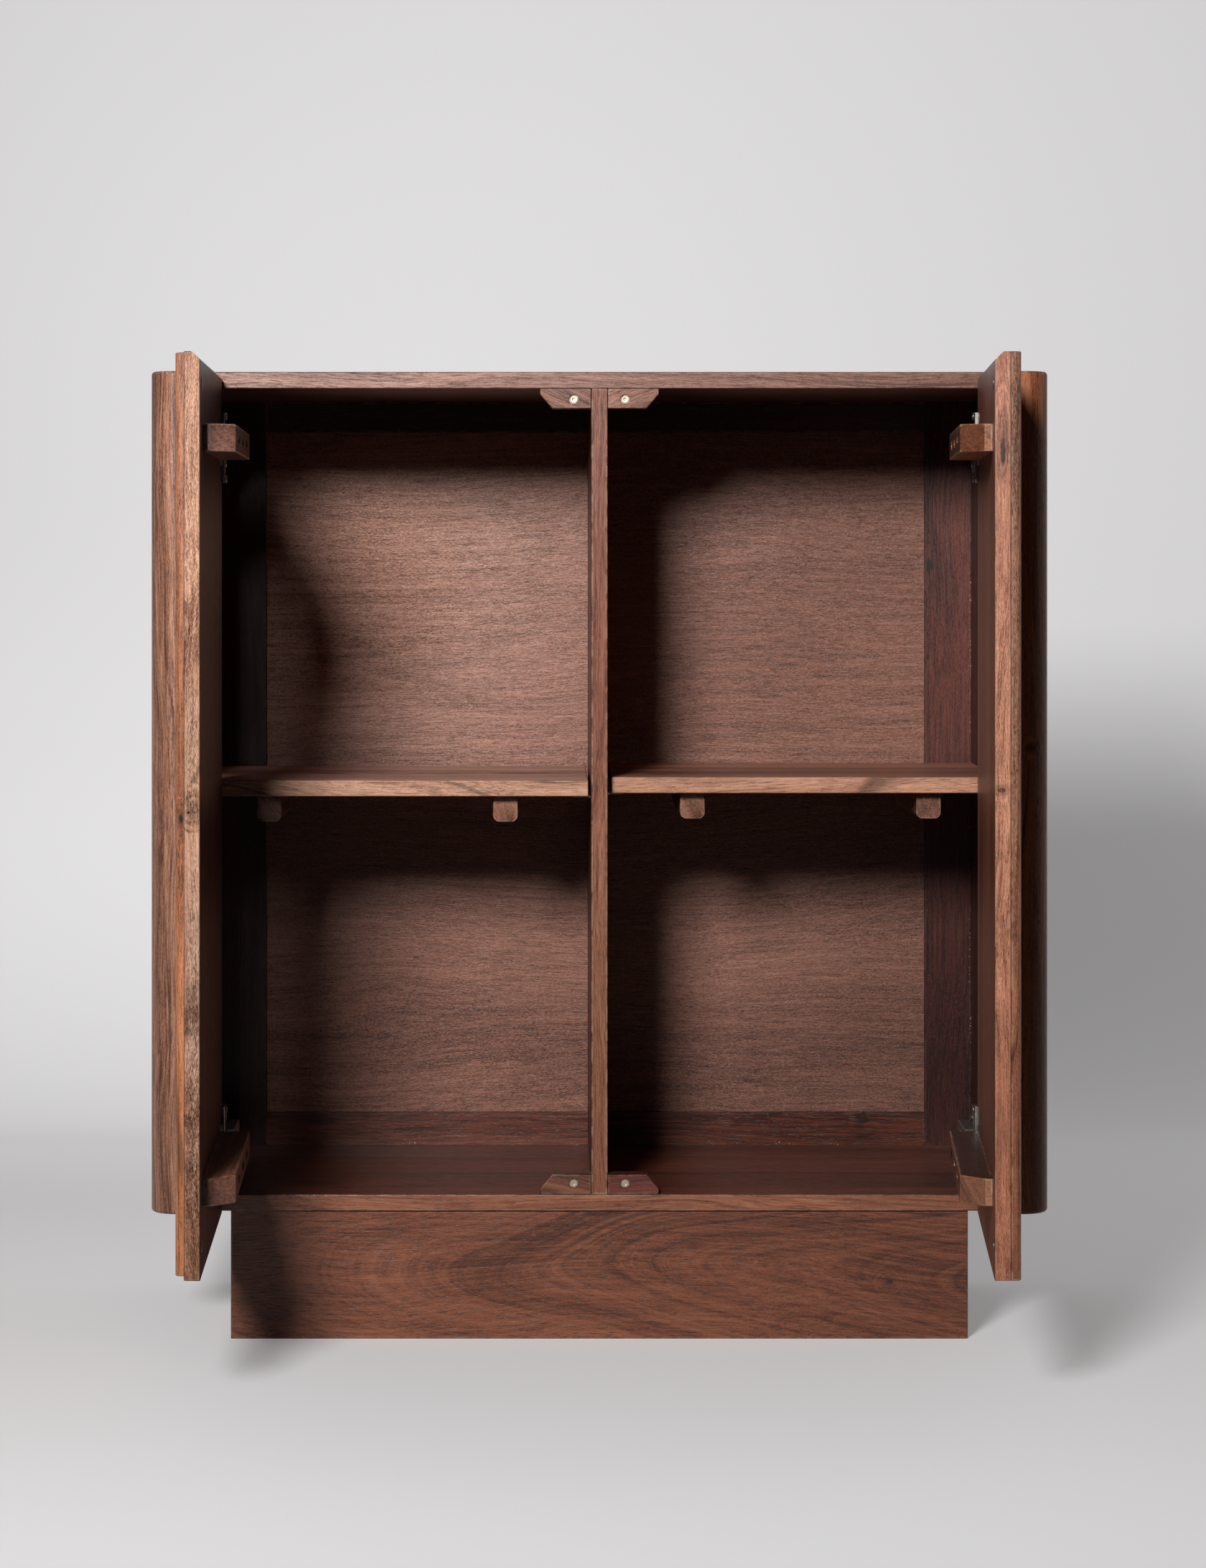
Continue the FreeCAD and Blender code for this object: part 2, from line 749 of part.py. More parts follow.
def make_door_boards(leaf):
    core_start = leaf.deep(size.door_face)
    inside = leaf.deep(door_thickness)
    profile = [
        (core_start, case_bottom),
        (inside, case_bottom),
        (inside, case_top - size.bevel_drop),
        (inside - size.bevel_run, case_top),
        (core_start, case_top),
    ]
    hinge_edge = leaf.across(zero)
    free_edge = leaf.across(door_width)
    core = prism(f"{leaf.hand}_door_core", "YZ", profile, hinge_edge, free_edge)
    soften(core, size.door_inner_round,
           lambda edge: runs_along(edge, 2) and lies_at(edge, 0, hinge_edge) and lies_at(edge, 1, inside))
    soften(core, size.door_arris,
           lambda edge: lies_at(edge, 0, free_edge) and runs_along(edge, 2) and lies_at(edge, 1, inside))
    for height in hinge_heights:
        centre = (leaf.across(size.cup_centre), height)
        cut(core, "XZ", inside - size.cup_depth, inside, circles=[(centre, size.cup_radius)])
        wings = [(centre[0], height + wing_screw_height() * way) for way in (-1, 1)]
        cut(core, "XZ", inside - size.wing_screw_bite, inside,
            circles=[(wing, size.wing_screw_radius) for wing in wings])
        pilots = [((place, height), size.batten_screw_radius) for place in batten_screw_places(leaf)]
        cut(core, "XZ", inside - size.batten_screw_bite, inside, circles=pilots)
    for place in strike_places(leaf):
        cut(core, "XZ", inside - strike_depth(), inside, circles=[(place, size.strike_radius)])
    keep(core, leaf.door_place)

    channel = size.finger_channel if leaf.hand == "left" else zero
    outside = leaf.deep(zero)
    face_edge = leaf.across(door_width - channel)
    face = board(f"{leaf.hand}_door_face", (hinge_edge, outside, case_bottom),
                 (face_edge, core_start, case_top))
    soften(face, size.door_outer_round, lambda edge: runs_along(edge, 2) and lies_at(edge, 1, outside))
    soften(face, size.door_arris, lambda edge: (lies_at(edge, 2, case_top) or lies_at(edge, 2, case_bottom))
           and not lies_at(edge, 1, core_start))
    keep(face, leaf.door_place)


def wing_screw_height():
    """How far the wing plate's screws stand above and below the cup."""
    return size.wing_length / 2 - size.wing_screw_inset


def strike_depth():
    return size.strike_thickness - size.strike_proud


def strike_places(leaf):
    """Opposite the magnets when the door is shut."""
    across = inner_half - size.door_hinge_gap - divider_face - size.magnet_reach
    return [(leaf.across(across), top_under - size.magnet_drop),
            (leaf.across(across), base_top + size.magnet_drop)]


def batten_end():
    return door_width - size.batten_free_gap


def batten_screw_places(leaf):
    """Three screws, evenly spaced along a batten."""
    first = size.batten_far_gap + size.batten_screw_first
    last = batten_end() - size.batten_nose - size.batten_screw_first
    return [leaf.across(first), leaf.across((first + last) / 2), leaf.across(last)]


def make_door_battens(leaf):
    inside = leaf.deep(door_thickness)
    proud = inside + size.batten_projection
    far = leaf.across(size.batten_far_gap)
    near = leaf.across(batten_end())
    nose = leaf.across(batten_end() - size.batten_nose)
    plan = [(far, inside), (near, inside), (near, inside + size.batten_heel), (nose, proud), (far, proud)]
    screws = []
    for name, height in zip(("top", "bottom"), hinge_heights):
        low = height - size.batten_height / 2
        high = height + size.batten_height / 2
        batten = prism(f"{leaf.hand}_door_{name}_batten", "XY", plan, low, high)
        soften(batten, size.batten_arris, lambda edge: not lies_at(edge, 1, inside))
        seat = proud - size.batten_counterbore
        holes = [(place, height) for place in batten_screw_places(leaf)]
        cut(batten, "XZ", seat, proud, circles=[(hole, size.batten_counterbore_radius) for hole in holes])
        cut(batten, "XZ", inside, seat, circles=[(hole, size.batten_screw_radius) for hole in holes])
        keep(batten, leaf.door_place)
        for hole in holes:
            head = rod("Y", seat, seat + size.batten_head, hole, size.batten_head_radius)
            shank = rod("Y", inside - size.batten_screw_bite, seat, hole, size.batten_screw_radius)
            screws.append(joined(head, shank))
    keep(group(f"{leaf.hand}_batten_screws", screws), leaf.door_place)


def make_strikes(leaf):
    inside = leaf.deep(door_thickness)
    discs = [rod("Y", inside - strike_depth(), inside + size.strike_proud, place, size.strike_radius)
             for place in strike_places(leaf)]
    keep(group(f"{leaf.hand}_door_strikes", discs), leaf.door_place)


def make_cups(leaf):
    """A hinge cup with its wing plate at each height, the pin across it and the plate's screws."""
    inside = leaf.deep(door_thickness)
    middle = leaf.across(size.cup_centre)
    floor = inside - size.cup_depth
    plate_top = inside + size.wing_thickness
    cups = []
    pins = []
    screws = []
    for number, height in enumerate(hinge_heights):
        centre = (middle, height)
        cup = new_body(f"{leaf.hand}_cup_{number + 1}")
        pad(cup, "XZ", floor, inside, circles=[(centre, size.cup_radius)])
        pad(cup, "XZ", inside, inside + size.cup_rim, circles=[(centre, size.cup_rim_radius)])
        half = size.wing_width / 2
        reach = size.wing_length / 2
        pad(cup, "XZ", inside, plate_top,
            polygon=rectangle((middle - half, height - reach), (middle + half, height + reach)))
        soften(cup, size.wing_round, lambda edge: lies_at(edge, 1, plate_top))
        well = rectangle((middle - size.cup_well_half, height - size.cup_well_rise),
                         (middle + size.cup_well_half, height + size.cup_well_rise))
        cut(cup, "XZ", floor + size.cup_floor, plate_top + size.wing_head, polygon=well)
        grip = size.cup_well_rise + size.hinge_pin_grip
        cut(cup, "XY", height - grip, height + grip, circles=[((zero, zero), size.hinge_pin_radius)])
        holes = [(middle, height + wing_screw_height() * way) for way in (-1, 1)]
        cut(cup, "XZ", inside, plate_top, circles=[(hole, size.wing_screw_radius) for hole in holes])
        cups.append(cup)
        pins.append(rod("Z", height - grip, height + grip, (zero, zero), size.hinge_pin_radius))
        for hole in holes:
            shank = rod("Y", inside - size.wing_screw_bite, plate_top, hole, size.wing_screw_radius)
            screws.append(joined(shank, domed_head(hole, plate_top)))
    keep(group(f"{leaf.hand}_hinge_cups", cups), leaf.door_place)
    keep(group(f"{leaf.hand}_cup_pins", pins), leaf.door_place)
    keep(group(f"{leaf.hand}_cup_screws", screws), leaf.door_place)


def domed_head(hole, seat):
    """Round screw head: an upper half of a ball, flattened to the head's height."""
    ball = doc.addObject("Part::Ellipsoid", "Head")
    middle = FreeCAD.Vector(hole[0].value, seat.value, hole[1].value)
    ball.Placement = FreeCAD.Placement(middle, TURN_TO["Y"])
    for name, place in zip("xyz", (hole[0], seat, hole[1])):
        ball.setExpression(f"Placement.Base.{name}", place.formula)
    ball.setExpression("Radius1", size.wing_head.formula)
    ball.setExpression("Radius2", size.wing_head_radius.formula)
    ball.setExpression("Radius3", size.wing_head_radius.formula)
    ball.Angle1 = 0
    return ball


def strap(points, thickness):
    """A bent flat strap seen from its edge: a path of straight runs given its thickness."""
    half = thickness / 2
    left = []
    right = []
    for index, point in enumerate(points):
        before = points[index] - points[index - 1] if index else points[1] - points[0]
        after = points[index + 1] - point if index + 1 < len(points) else before
        before = FreeCAD.Vector(before).normalize()
        after = FreeCAD.Vector(after).normalize()
        across = FreeCAD.Vector(-before.y - after.y, before.x + after.x, 0)
        across = across * (half * 2 / across.Length ** 2)
        left.append(point + across)
        right.append(point - across)
    outline = left + right[::-1]
    return Part.Face(Part.makePolygon(outline + [outline[0]]))


def make_links(leaf):
    """A bent link for each hinge, from the pin in the arm to the pin in the cup."""
    reach = leaf.shut_reach
    knee = FreeCAD.Vector(size.link_knee_across.value * -leaf.sign, -size.link_knee_in.value, 0)
    crook = FreeCAD.Vector(size.link_crook_across.value * -leaf.sign, size.link_crook_out.value, 0)
    path = [FreeCAD.Vector(), reach + crook, reach + knee, reach]
    eye = size.link_eye_radius.value
    hole = (size.hinge_pin_radius + size.hinge_pin_play).value
    links = []
    for number, height in enumerate(hinge_heights):
        foot = (height - size.link_rise).value
        tall = FreeCAD.Vector(0, 0, (size.link_rise * 2).value)
        bar = strap(path, size.link_thickness.value).extrude(tall)
        for end in (path[0], path[-1]):
            bar = bar.fuse(Part.makeCylinder(eye, tall.z, end))
        for end in (path[0], path[-1]):
            bar = bar.cut(Part.makeCylinder(hole, tall.z, end))
        bar = bar.removeSplitter()
        bar.translate(FreeCAD.Vector(0, 0, foot))
        link = doc.addObject("Part::Feature", f"{leaf.hand}_link_{number + 1}")
        link.Shape = bar
        links.append(link)
    keep(group(f"{leaf.hand}_hinge_links", links), leaf.link_place)


def make_arms():
    """What carries the hinges on the side panels: block, plate, arm, pin and screws."""
    blocks = []
    plates = []
    arms = []
    pins = []
    plate_screws = []
    arm_screws = []
    for hand, sign in HANDS:
        wall = inner_half * sign
        under_plate = (inner_half - size.arm_seat + size.plate_thickness) * sign
        seat = (inner_half - size.arm_seat) * sign
        web_inside = (inner_half - size.arm_outer + size.arm_wall) * sign
        web_outside = (inner_half - size.arm_outer) * sign
        pin = ((inner_half - size.arm_pivot_across) * sign, edge_plane + size.arm_pivot_back)
        block_front = edge_plane + size.hinge_block_front
        arm_front = edge_plane + size.arm_front
        arm_back = arm_front + size.arm_length
        wing_front = edge_plane + size.plate_wing_setback
        wing_middle = wing_front + size.plate_wing_width / 2
        for number, height in enumerate(hinge_heights):
            name = f"{hand}_{number + 1}"
            block_back = block_front + size.hinge_block_length
            block = board(f"hinge_block_{name}", (wall, block_front, height - size.hinge_block_rise),
                          (under_plate, block_back, height + size.hinge_block_rise))
            holes = [(wing_middle, height + size.plate_screw_spread * way) for way in (-1, 1)]
            bite = under_plate + size.plate_screw_bite * sign
            cut(block, "YZ", bite, under_plate, circles=[(hole, size.plate_screw_radius) for hole in holes])
            blocks.append(block)

            plate = board(f"hinge_plate_{name}", (under_plate, wing_front, height - size.plate_wing_rise),
                          (seat, wing_front + size.plate_wing_width, height + size.plate_wing_rise))
            cut(plate, "YZ", under_plate, seat, circles=[(hole, size.plate_screw_radius) for hole in holes])
            inner_rise = size.arm_rise - size.arm_wall - size.plate_seat_play
            seat_front = wing_middle - size.plate_seat_length / 2
            seat_back = seat_front + size.plate_seat_length
            pad(plate, "XY", height - inner_rise, height + inner_rise,
                polygon=rectangle((under_plate, seat_front), (web_inside, seat_back)))
            middle = (wing_middle, height)
            cut(plate, "YZ", seat, web_inside, circles=[(middle, size.arm_screw_radius)])
            plates.append(plate)

            arm = board(f"hinge_arm_{name}", (seat, arm_front, height - size.arm_rise),
                        (web_outside, arm_back, height + size.arm_rise))
            soften(arm, size.arm_round, lambda edge: lies_at(edge, 0, web_outside) and runs_along(edge, 1))
            hollow = size.arm_rise - size.arm_wall
            cut(arm, "XZ", arm_front, arm_back,
                polygon=rectangle((seat, height - hollow), (web_inside, height + hollow)))
            cut(arm, "XY", height - hollow, height + hollow,
                polygon=rectangle((web_inside, arm_front), (web_outside, arm_front + size.arm_web_setback)))
            cut(arm, "XY", height - size.arm_rise, height + size.arm_rise,
                circles=[(pin, size.hinge_pin_radius)])
            cut(arm, "YZ", web_inside, web_outside, circles=[(middle, size.arm_screw_radius)])
            arms.append(arm)
            pins.append(rod("Z", height - size.arm_rise, height + size.arm_rise, pin, size.hinge_pin_radius))

            for hole in holes:
                shank = rod("X", bite, seat, hole, size.plate_screw_radius)
                head = rod("X", seat, seat - size.plate_head * sign, hole, size.plate_head_radius)
                plate_screws.append(joined(shank, head))
            shank = rod("X", seat, web_outside, middle, size.arm_screw_radius)
            head = rod("X", web_outside, web_outside - size.arm_head * sign, middle, size.arm_head_radius)
            arm_screws.append(joined(shank, head))
    keep(group("hinge_blocks", blocks))
    keep(group("hinge_plates", plates))
    keep(group("hinge_arms", arms))
    keep(group("hinge_arm_pins", pins))
    keep(group("hinge_plate_screws", plate_screws))
    keep(group("hinge_arm_screws", arm_screws))


places = make_sides()
make_top_and_base(places)
make_divider()
make_back()
make_plinth()
make_stops()
make_shelves()
drill_pin_holes_in_sides()
make_arms()
leaves = [Leaf("left", -1, size.left_door_angle), Leaf("right", 1, size.right_door_angle)]
for leaf in leaves:
    make_door_boards(leaf)
    make_door_battens(leaf)
    make_strikes(leaf)
    make_cups(leaf)
    make_links(leaf)
doc.recompute()

for item in doc.Objects:
    if "Invalid" in item.State or "Error" in item.State:
        raise RuntimeError(f"{item.Label} could not be made")
for label, piece in parts.items():
    if piece.Shape.isNull() or not piece.Shape.isValid() or not piece.Shape.Solids:
        raise RuntimeError(f"{label} has no sound solid")

os.makedirs("parts", exist_ok=True)
for label, piece in parts.items():
    piece.Shape.exportStep(f"parts/{label}.step")
print(len(parts), "pieces")
for leaf in leaves:
    print(leaf.hand, "arm pin", [round(number, 4) for number in leaf.arm_pin])
    print(leaf.hand, "cup pin", [round(number, 4) for number in leaf.cup_pin])
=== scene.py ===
import json
import math

import bmesh
import bpy
from mathutils import Matrix, Vector

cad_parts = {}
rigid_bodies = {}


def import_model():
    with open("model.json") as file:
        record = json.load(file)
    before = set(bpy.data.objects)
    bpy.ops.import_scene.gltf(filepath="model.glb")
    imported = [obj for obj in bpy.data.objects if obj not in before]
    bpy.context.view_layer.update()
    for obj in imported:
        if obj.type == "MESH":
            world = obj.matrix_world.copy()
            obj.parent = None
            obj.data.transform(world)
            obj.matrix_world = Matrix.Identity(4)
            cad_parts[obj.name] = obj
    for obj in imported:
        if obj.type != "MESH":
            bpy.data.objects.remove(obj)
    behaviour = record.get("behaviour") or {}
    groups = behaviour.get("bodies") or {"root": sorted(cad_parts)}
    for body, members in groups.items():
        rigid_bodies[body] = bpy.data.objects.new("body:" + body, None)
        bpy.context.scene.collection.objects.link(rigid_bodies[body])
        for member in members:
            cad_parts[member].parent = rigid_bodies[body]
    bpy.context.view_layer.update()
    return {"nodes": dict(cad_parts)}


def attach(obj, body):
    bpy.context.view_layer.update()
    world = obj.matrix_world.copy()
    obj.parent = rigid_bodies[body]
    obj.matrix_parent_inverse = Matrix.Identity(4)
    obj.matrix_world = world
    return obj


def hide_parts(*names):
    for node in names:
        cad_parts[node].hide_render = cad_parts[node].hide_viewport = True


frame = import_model()
nodes = frame["nodes"]
print("stage: cabinet loaded,", len(nodes), "nodes")


def screen(red, green, blue):
    # colours are written as they look on a screen, 0 to 255
    def linear(value):
        value /= 255
        return value / 12.92 if value <= 0.04045 else ((value + 0.055) / 1.055) ** 2.4
    return (linear(red), linear(green), linear(blue), 1.0)


class Graph:
    # the node tree of a material or of the world, built one node at a time
    def __init__(self, owner):
        owner.use_nodes = True
        self.owner = owner
        self.tree = owner.node_tree
        self.tree.nodes.clear()

    def add(self, kind, inputs=None, out=0, **settings):
        # a new node, its inputs as numbers or links; gives back one of its outputs
        node = self.tree.nodes.new("ShaderNode" + kind)
        for key, value in settings.items():
            setattr(node, key, value)
        for key, value in (inputs or {}).items():
            if isinstance(value, bpy.types.NodeSocket):
                self.tree.links.new(value, node.inputs[key])
            else:
                node.inputs[key].default_value = value
        return node.outputs[out]

    def math(self, operation, first, second=0.0, third=None):
        values = {0: first, 1: second}
        if third is not None:
            values[2] = third
        return self.add("Math", values, operation=operation)

    def times(self, first, *others):
        for other in others:
            first = self.math("MULTIPLY", first, other)
        return first

    def timesPlus(self, first, second, third):
        return self.math("MULTIPLY_ADD", first, second, third)

    def minus(self, first, second):
        return self.math("SUBTRACT", first, second)

    def distance(self, value, line):
        return self.math("ABSOLUTE", self.minus(value, line))

    def vector(self, operation, first, second=None, out=0):
        inputs = {0: first} if second is None else {0: first, 1: second}
        return self.add("VectorMath", inputs, out, operation=operation)

    def split(self, vector):
        return tuple(self.add("SeparateXYZ", {0: vector}).node.outputs)

    def join(self, x, y, z):
        return self.add("CombineXYZ", {0: x, 1: y, 2: z})

    def noise(self, vector, scales, detail=2.0, roughness=0.5, distortion=0.0, out=0):
        # output 0 is the value, 1 the colour
        stretched = self.vector("MULTIPLY", vector, scales)
        return self.add("TexNoise", {"Vector": stretched, "Scale": 1.0, "Detail": detail, "Roughness": roughness,
                                     "Distortion": distortion}, out)

    def between(self, value, low, high, toLow=0.0, toHigh=1.0, smooth=True):
        return self.add("MapRange", {"Value": value, "From Min": low, "From Max": high,
                                     "To Min": toLow, "To Max": toHigh},
                        interpolation_type="SMOOTHSTEP" if smooth else "LINEAR")

    def fade(self, value, near, far, full=1.0):
        # full up to near, nothing from far on
        return self.between(value, near, far, full, 0.0)

    def mix(self, factor, first, second):
        return self.add("Mix", {0: factor, 6: first, 7: second}, 2, data_type="RGBA")

    def ramp(self, value, stops):
        output = self.add("ValToRGB", {0: value})
        elements = output.node.color_ramp.elements
        while len(elements) < len(stops):
            elements.new(0.5)
        for element, (place, factors) in zip(elements, stops):
            element.position = place
            element.color = factors + (1.0,)
        return output

    def finish(self, shader, kind="OutputMaterial"):
        output = self.tree.nodes.new("ShaderNode" + kind)
        self.tree.links.new(shader, output.inputs[0])
        return self.owner


# what every piece of wood starts from; a piece changes only what it needs
plainWood = {
    "grain": "Z",             # the way the fibres run
    "slope": 0.0,             # how far the fibres lean across the board
    "seed": 0.0,              # moves the pattern, so that no two boards are alike
    "pith": (0.10, 0.06),     # where the rings are centred, from the middle of the piece
    "rings": 42.0,            # growth zones to a metre
    "taper": 0.02,            # how fast the rings shift along the board
    "wobble": 0.02,           # how far the fibres waver to each side, in metres
    "growthShow": 1.15,       # how much each layer of the figure shows
    "lineShow": 0.85,
    "fibreShow": 1.25,
    "streakShow": 0.6,
    "cloudShow": 0.75,
    "gritShow": 0.5,
    "veinShow": 0.6,
    "poreShow": 0.45,
    "stave": 0.0,             # width of the glued strips, side by side through v; 0 for one board
    "staveShow": 0.35,
    "knots": (),              # centre, radii, how dark, how much of the middle is pale
    "colour": (140, 92, 70),  # as it looks on a screen in full light
    "broad": (),              # faces of another colour, on some pieces painted shade on faces inside the case: axis, side (1, -1, or 0 for both), colour
    "drift": (),              # places that are paler or darker, some in the wood itself and some painted light and shade: centre, radii, factor
    "bars": (),               # dark cross bars: centre, radii, how dark
    "torn": (),               # torn, speckled grain: centre, radii, how strong
    "filler": (),             # a pale line of filler along a joint: axis, place, half width
    "sockets": (),            # painted shade in a ring round fittings: centre, radius of the fitting, width of the ring
    "pockets": (),            # painted shade inside long screw slots: centre, radii
    "strip": (),              # a paler strip up one side of the end faces: side (1 or -1), width, colour factor
    "seam": 0.55,             # how dark the line along an arris is
    "worn": 0.35,             # how pale the arrises are, from wear and as a painted highlight
    "roughness": 0.38,
    "gloss": 0.5,             # specular level
    "rippleShow": 0.0,        # planer chatter across the grain
    "rippleZone": (),         # where it is stronger: centre, radii, how much
}
# how fine the figure is: repeats to a metre across, through and along the grain
grainScale = {
    "bend": (4.0, 4.0, 1.7), "fibre": (430, 430, 7), "streak": (120, 120, 1.2), "cloud": (5.0, 5.0, 1.6),
    "grit": (1300, 1300, 330), "pore": (1250, 1250, 52), "patch": (9, 9, 2.4), "ripple": (360, 60, 200),
    "torn": (1050, 1050, 210), "bar": (60, 60, 26),
}
# the same for what follows the rings: repeats to a growth zone, along the board, and between boards
ringScale = {"growth": (1, 1, 1), "line": (5.6, 1.3, 1), "vein": (1.6, 0.9, 1)}
# the same for marks that have no grain
markScale = {"spot": (200,) * 3, "rubbed": (70,) * 3, "socket": (300,) * 3, "crumbs": (420,) * 3, "runs": (22,) * 3}
# the ramp from the dark late wood to the pale sapwood, as factors on the piece's colour
toneSteps = ((0.0, (0.20, 0.15, 0.13)), (0.30, (0.60, 0.54, 0.51)), (0.52, (1.05, 1.05, 1.05)),
             (0.76, (1.42, 1.52, 1.58)), (1.0, (1.80, 2.05, 2.25)))
midTone = 0.52                       # where the ramp leaves the colour nearly as it is
tornGrey = (0.86, 0.98, 1.02)
staveShift = (0.16, 0.10, 2.0)       # how far the figure jumps from strip to strip, in metres
# the rubbed colour on arrises is wear and a painted highlight
markColour = {"vein": (48, 26, 19), "knot": (22, 12, 9), "rubbed": (196, 152, 122), "filler": (214, 166, 132)}
# the noise makes no mark up to the first number, and a full one from the second
markFrom = {"rubbed": (0.38, 0.62), "patch": (0.40, 0.60), "pore": (0.56, 0.66), "bar": (0.44, 0.60),
            "crumbs": (0.60, 0.68), "runs": (0.50, 0.60)}
veinReach = (0.0, 0.026)             # from the middle of a vein to its side
# how much wider than the knot the rings bend and its halo shows, and how strongly
knotForm = {"pull": 5, "bend": 0.03, "halo": 3, "haloDark": 0.4, "pale": 0.85}
# how far from the arris the pale wear and painted highlight and the dark line fade out, in metres
arrisReach = {"worn": (0.0006, 0.0030), "seam": (0.0003, 0.0011)}
# the strip on a batten's end: how soft its side is, and the line of glue beside it
stripForm = {"soft": 0.0004, "glue": (0.0002, 0.0007), "glueDark": 0.5}
paintedHollowShade = 0.88                    # how dark the painted shade is inside slots and round fittings
squareOn = (0.6, 0.9)                # a face begins to face an axis at the first, and does so from the second
woodBump = {"Strength": 0.45, "Distance": 0.0006}
# how much each layer raises the surface, and roughens it
relief = {"fibre": 0.6, "pore": -0.6, "growth": 0.3, "ripple": 4}
rougher = {"fibre": 0.12, "pore": 0.10}


def nearness(g, place, centre, radii, ragged=0.0, inner=0.3, outer=1.0):
    # 1 at the centre of a spot, 0 outside it
    away = g.vector("DIVIDE", g.vector("SUBTRACT", place, centre), radii)
    far = g.vector("LENGTH", away, out="Value")
    if ragged:
        far = g.timesPlus(g.noise(place, markScale["spot"]), ragged, g.minus(far, ragged / 2))
    return g.fade(far, inner, outer)


def darken(g, colour, amount):
    # amount 0 leaves the colour as it is, 1 makes it black
    left = g.minus(1.0, amount)
    return g.vector("MULTIPLY", colour, g.join(left, left, left))


def boardTurn(nodeName):
    # how far the board stands turned from square, about the z axis; the open doors do
    upright = [face for face in nodes[nodeName].data.polygons if abs(face.normal.z) < 0.5]
    broadest = max(upright, key=lambda face: face.area)
    angle = math.degrees(math.atan2(broadest.normal.y, broadest.normal.x))
    angle -= round(angle / 90) * 90
    return math.radians(angle) if abs(angle) > 0.5 else 0.0


def boardPlace(g, nodeName):
    # a point's place, also square to the board, and the board's lowest and highest corner
    angle = boardTurn(nodeName) if "door" in nodeName else 0.0
    square = Matrix.Rotation(-angle, 3, "Z")
    corners = [square @ vert.co for vert in nodes[nodeName].data.vertices]
    low, high = ([pick(corner[axis] for corner in corners) for axis in range(3)] for pick in (min, max))
    place = g.add("TexCoord", out="Object")
    x, y, z = g.split(place)
    if angle:
        cosine, sine = math.cos(angle), math.sin(angle)
        x, y = g.timesPlus(x, cosine, g.times(y, sine)), g.timesPlus(y, cosine, g.times(x, -sine))
    return place, (x, y, z), low, high


def grainPlace(g, xyz, low, high, look):
    # the place in the wood, u across, v through and w along the grain, and how far it is from the pith
    order = {"Z": (0, 1, 2), "X": (2, 1, 0), "Y": (0, 2, 1)}[look["grain"]]
    u, v, w = (xyz[axis] for axis in order)
    midU, midV, midW = ((low[axis] + high[axis]) / 2 for axis in order)
    if look["slope"]:
        u = g.timesPlus(g.minus(w, midW), look["slope"], u)
    staveTone = None
    if look["stave"]:
        index = g.math("FLOOR", g.timesPlus(v, 1 / look["stave"], look["seed"]))
        staveTone = g.add("TexWhiteNoise", {"W": index}, "Value", noise_dimensions="1D")
        draws = g.split(staveTone.node.outputs["Color"])
        u, v, w = (g.timesPlus(draw, shift, axis) for draw, shift, axis in zip(draws, staveShift, (u, v, w)))
    w = g.math("ADD", w, look["seed"])
    bends = g.split(g.noise(g.join(u, v, w), grainScale["bend"], out=1))
    u, v = (g.timesPlus(g.minus(bend, 0.5), look["wobble"] * 4, axis) for bend, axis in zip(bends, (u, v)))
    offU = g.minus(u, midU + look["pith"][0])
    offV = g.minus(v, midV + look["pith"][1])
    reach = g.math("SQRT", g.math("ADD", g.times(offU, offU), g.times(offV, offV)))
    reach = g.timesPlus(g.minus(w, midW + look["seed"]), look["taper"], reach)
    return g.join(u, v, w), w, reach, staveTone


def addKnots(g, place, reach, look):
    # bends the rings round each knot, and says how dark the knots are
    dark = 0.0
    for centre, radii, depth, paleMiddle in look["knots"]:
        pull = nearness(g, place, centre, [radius * knotForm["pull"] for radius in radii], 0.15, 0.05)
        reach = g.timesPlus(pull, knotForm["bend"], reach)
        core = g.times(nearness(g, place, centre, radii, 0.7, 0.45, 1.15), depth)
        if paleMiddle:
            inner = nearness(g, place, centre, [radius * paleMiddle for radius in radii], 0.3, 0.6, 1.1)
            core = g.times(core, g.timesPlus(inner, -knotForm["pale"], 1.0))
        halo = nearness(g, place, centre, [radius * knotForm["halo"] for radius in radii], 0.4)
        halo = g.times(halo, depth * knotForm["haloDark"])
        dark = g.math("MAXIMUM", dark, g.math("MAXIMUM", core, halo))
    return reach, dark


def drawArrises(g, colour, place, xyz, low, high, look):
    # near two faces of the box, the wood is paler, from wear and as a painted highlight, and a dark line runs along
    # the arris
    gaps = [g.minus((high[axis] - low[axis]) / 2, g.distance(xyz[axis], (low[axis] + high[axis]) / 2))
            for axis in range(3)]
    least, most, total = (g.math(operation, g.math(operation, gaps[0], gaps[1]), gaps[2])
                          for operation in ("MINIMUM", "MAXIMUM", "ADD"))
    second = g.minus(g.minus(total, least), most)
    rubbed = g.between(g.noise(place, markScale["rubbed"], 3.0, 0.6), *markFrom["rubbed"])
    worn = g.times(g.fade(second, *arrisReach["worn"]), rubbed, look["worn"])
    colour = g.mix(worn, colour, screen(*markColour["rubbed"]))
    return darken(g, colour, g.times(g.fade(second, *arrisReach["seam"]), look["seam"]))


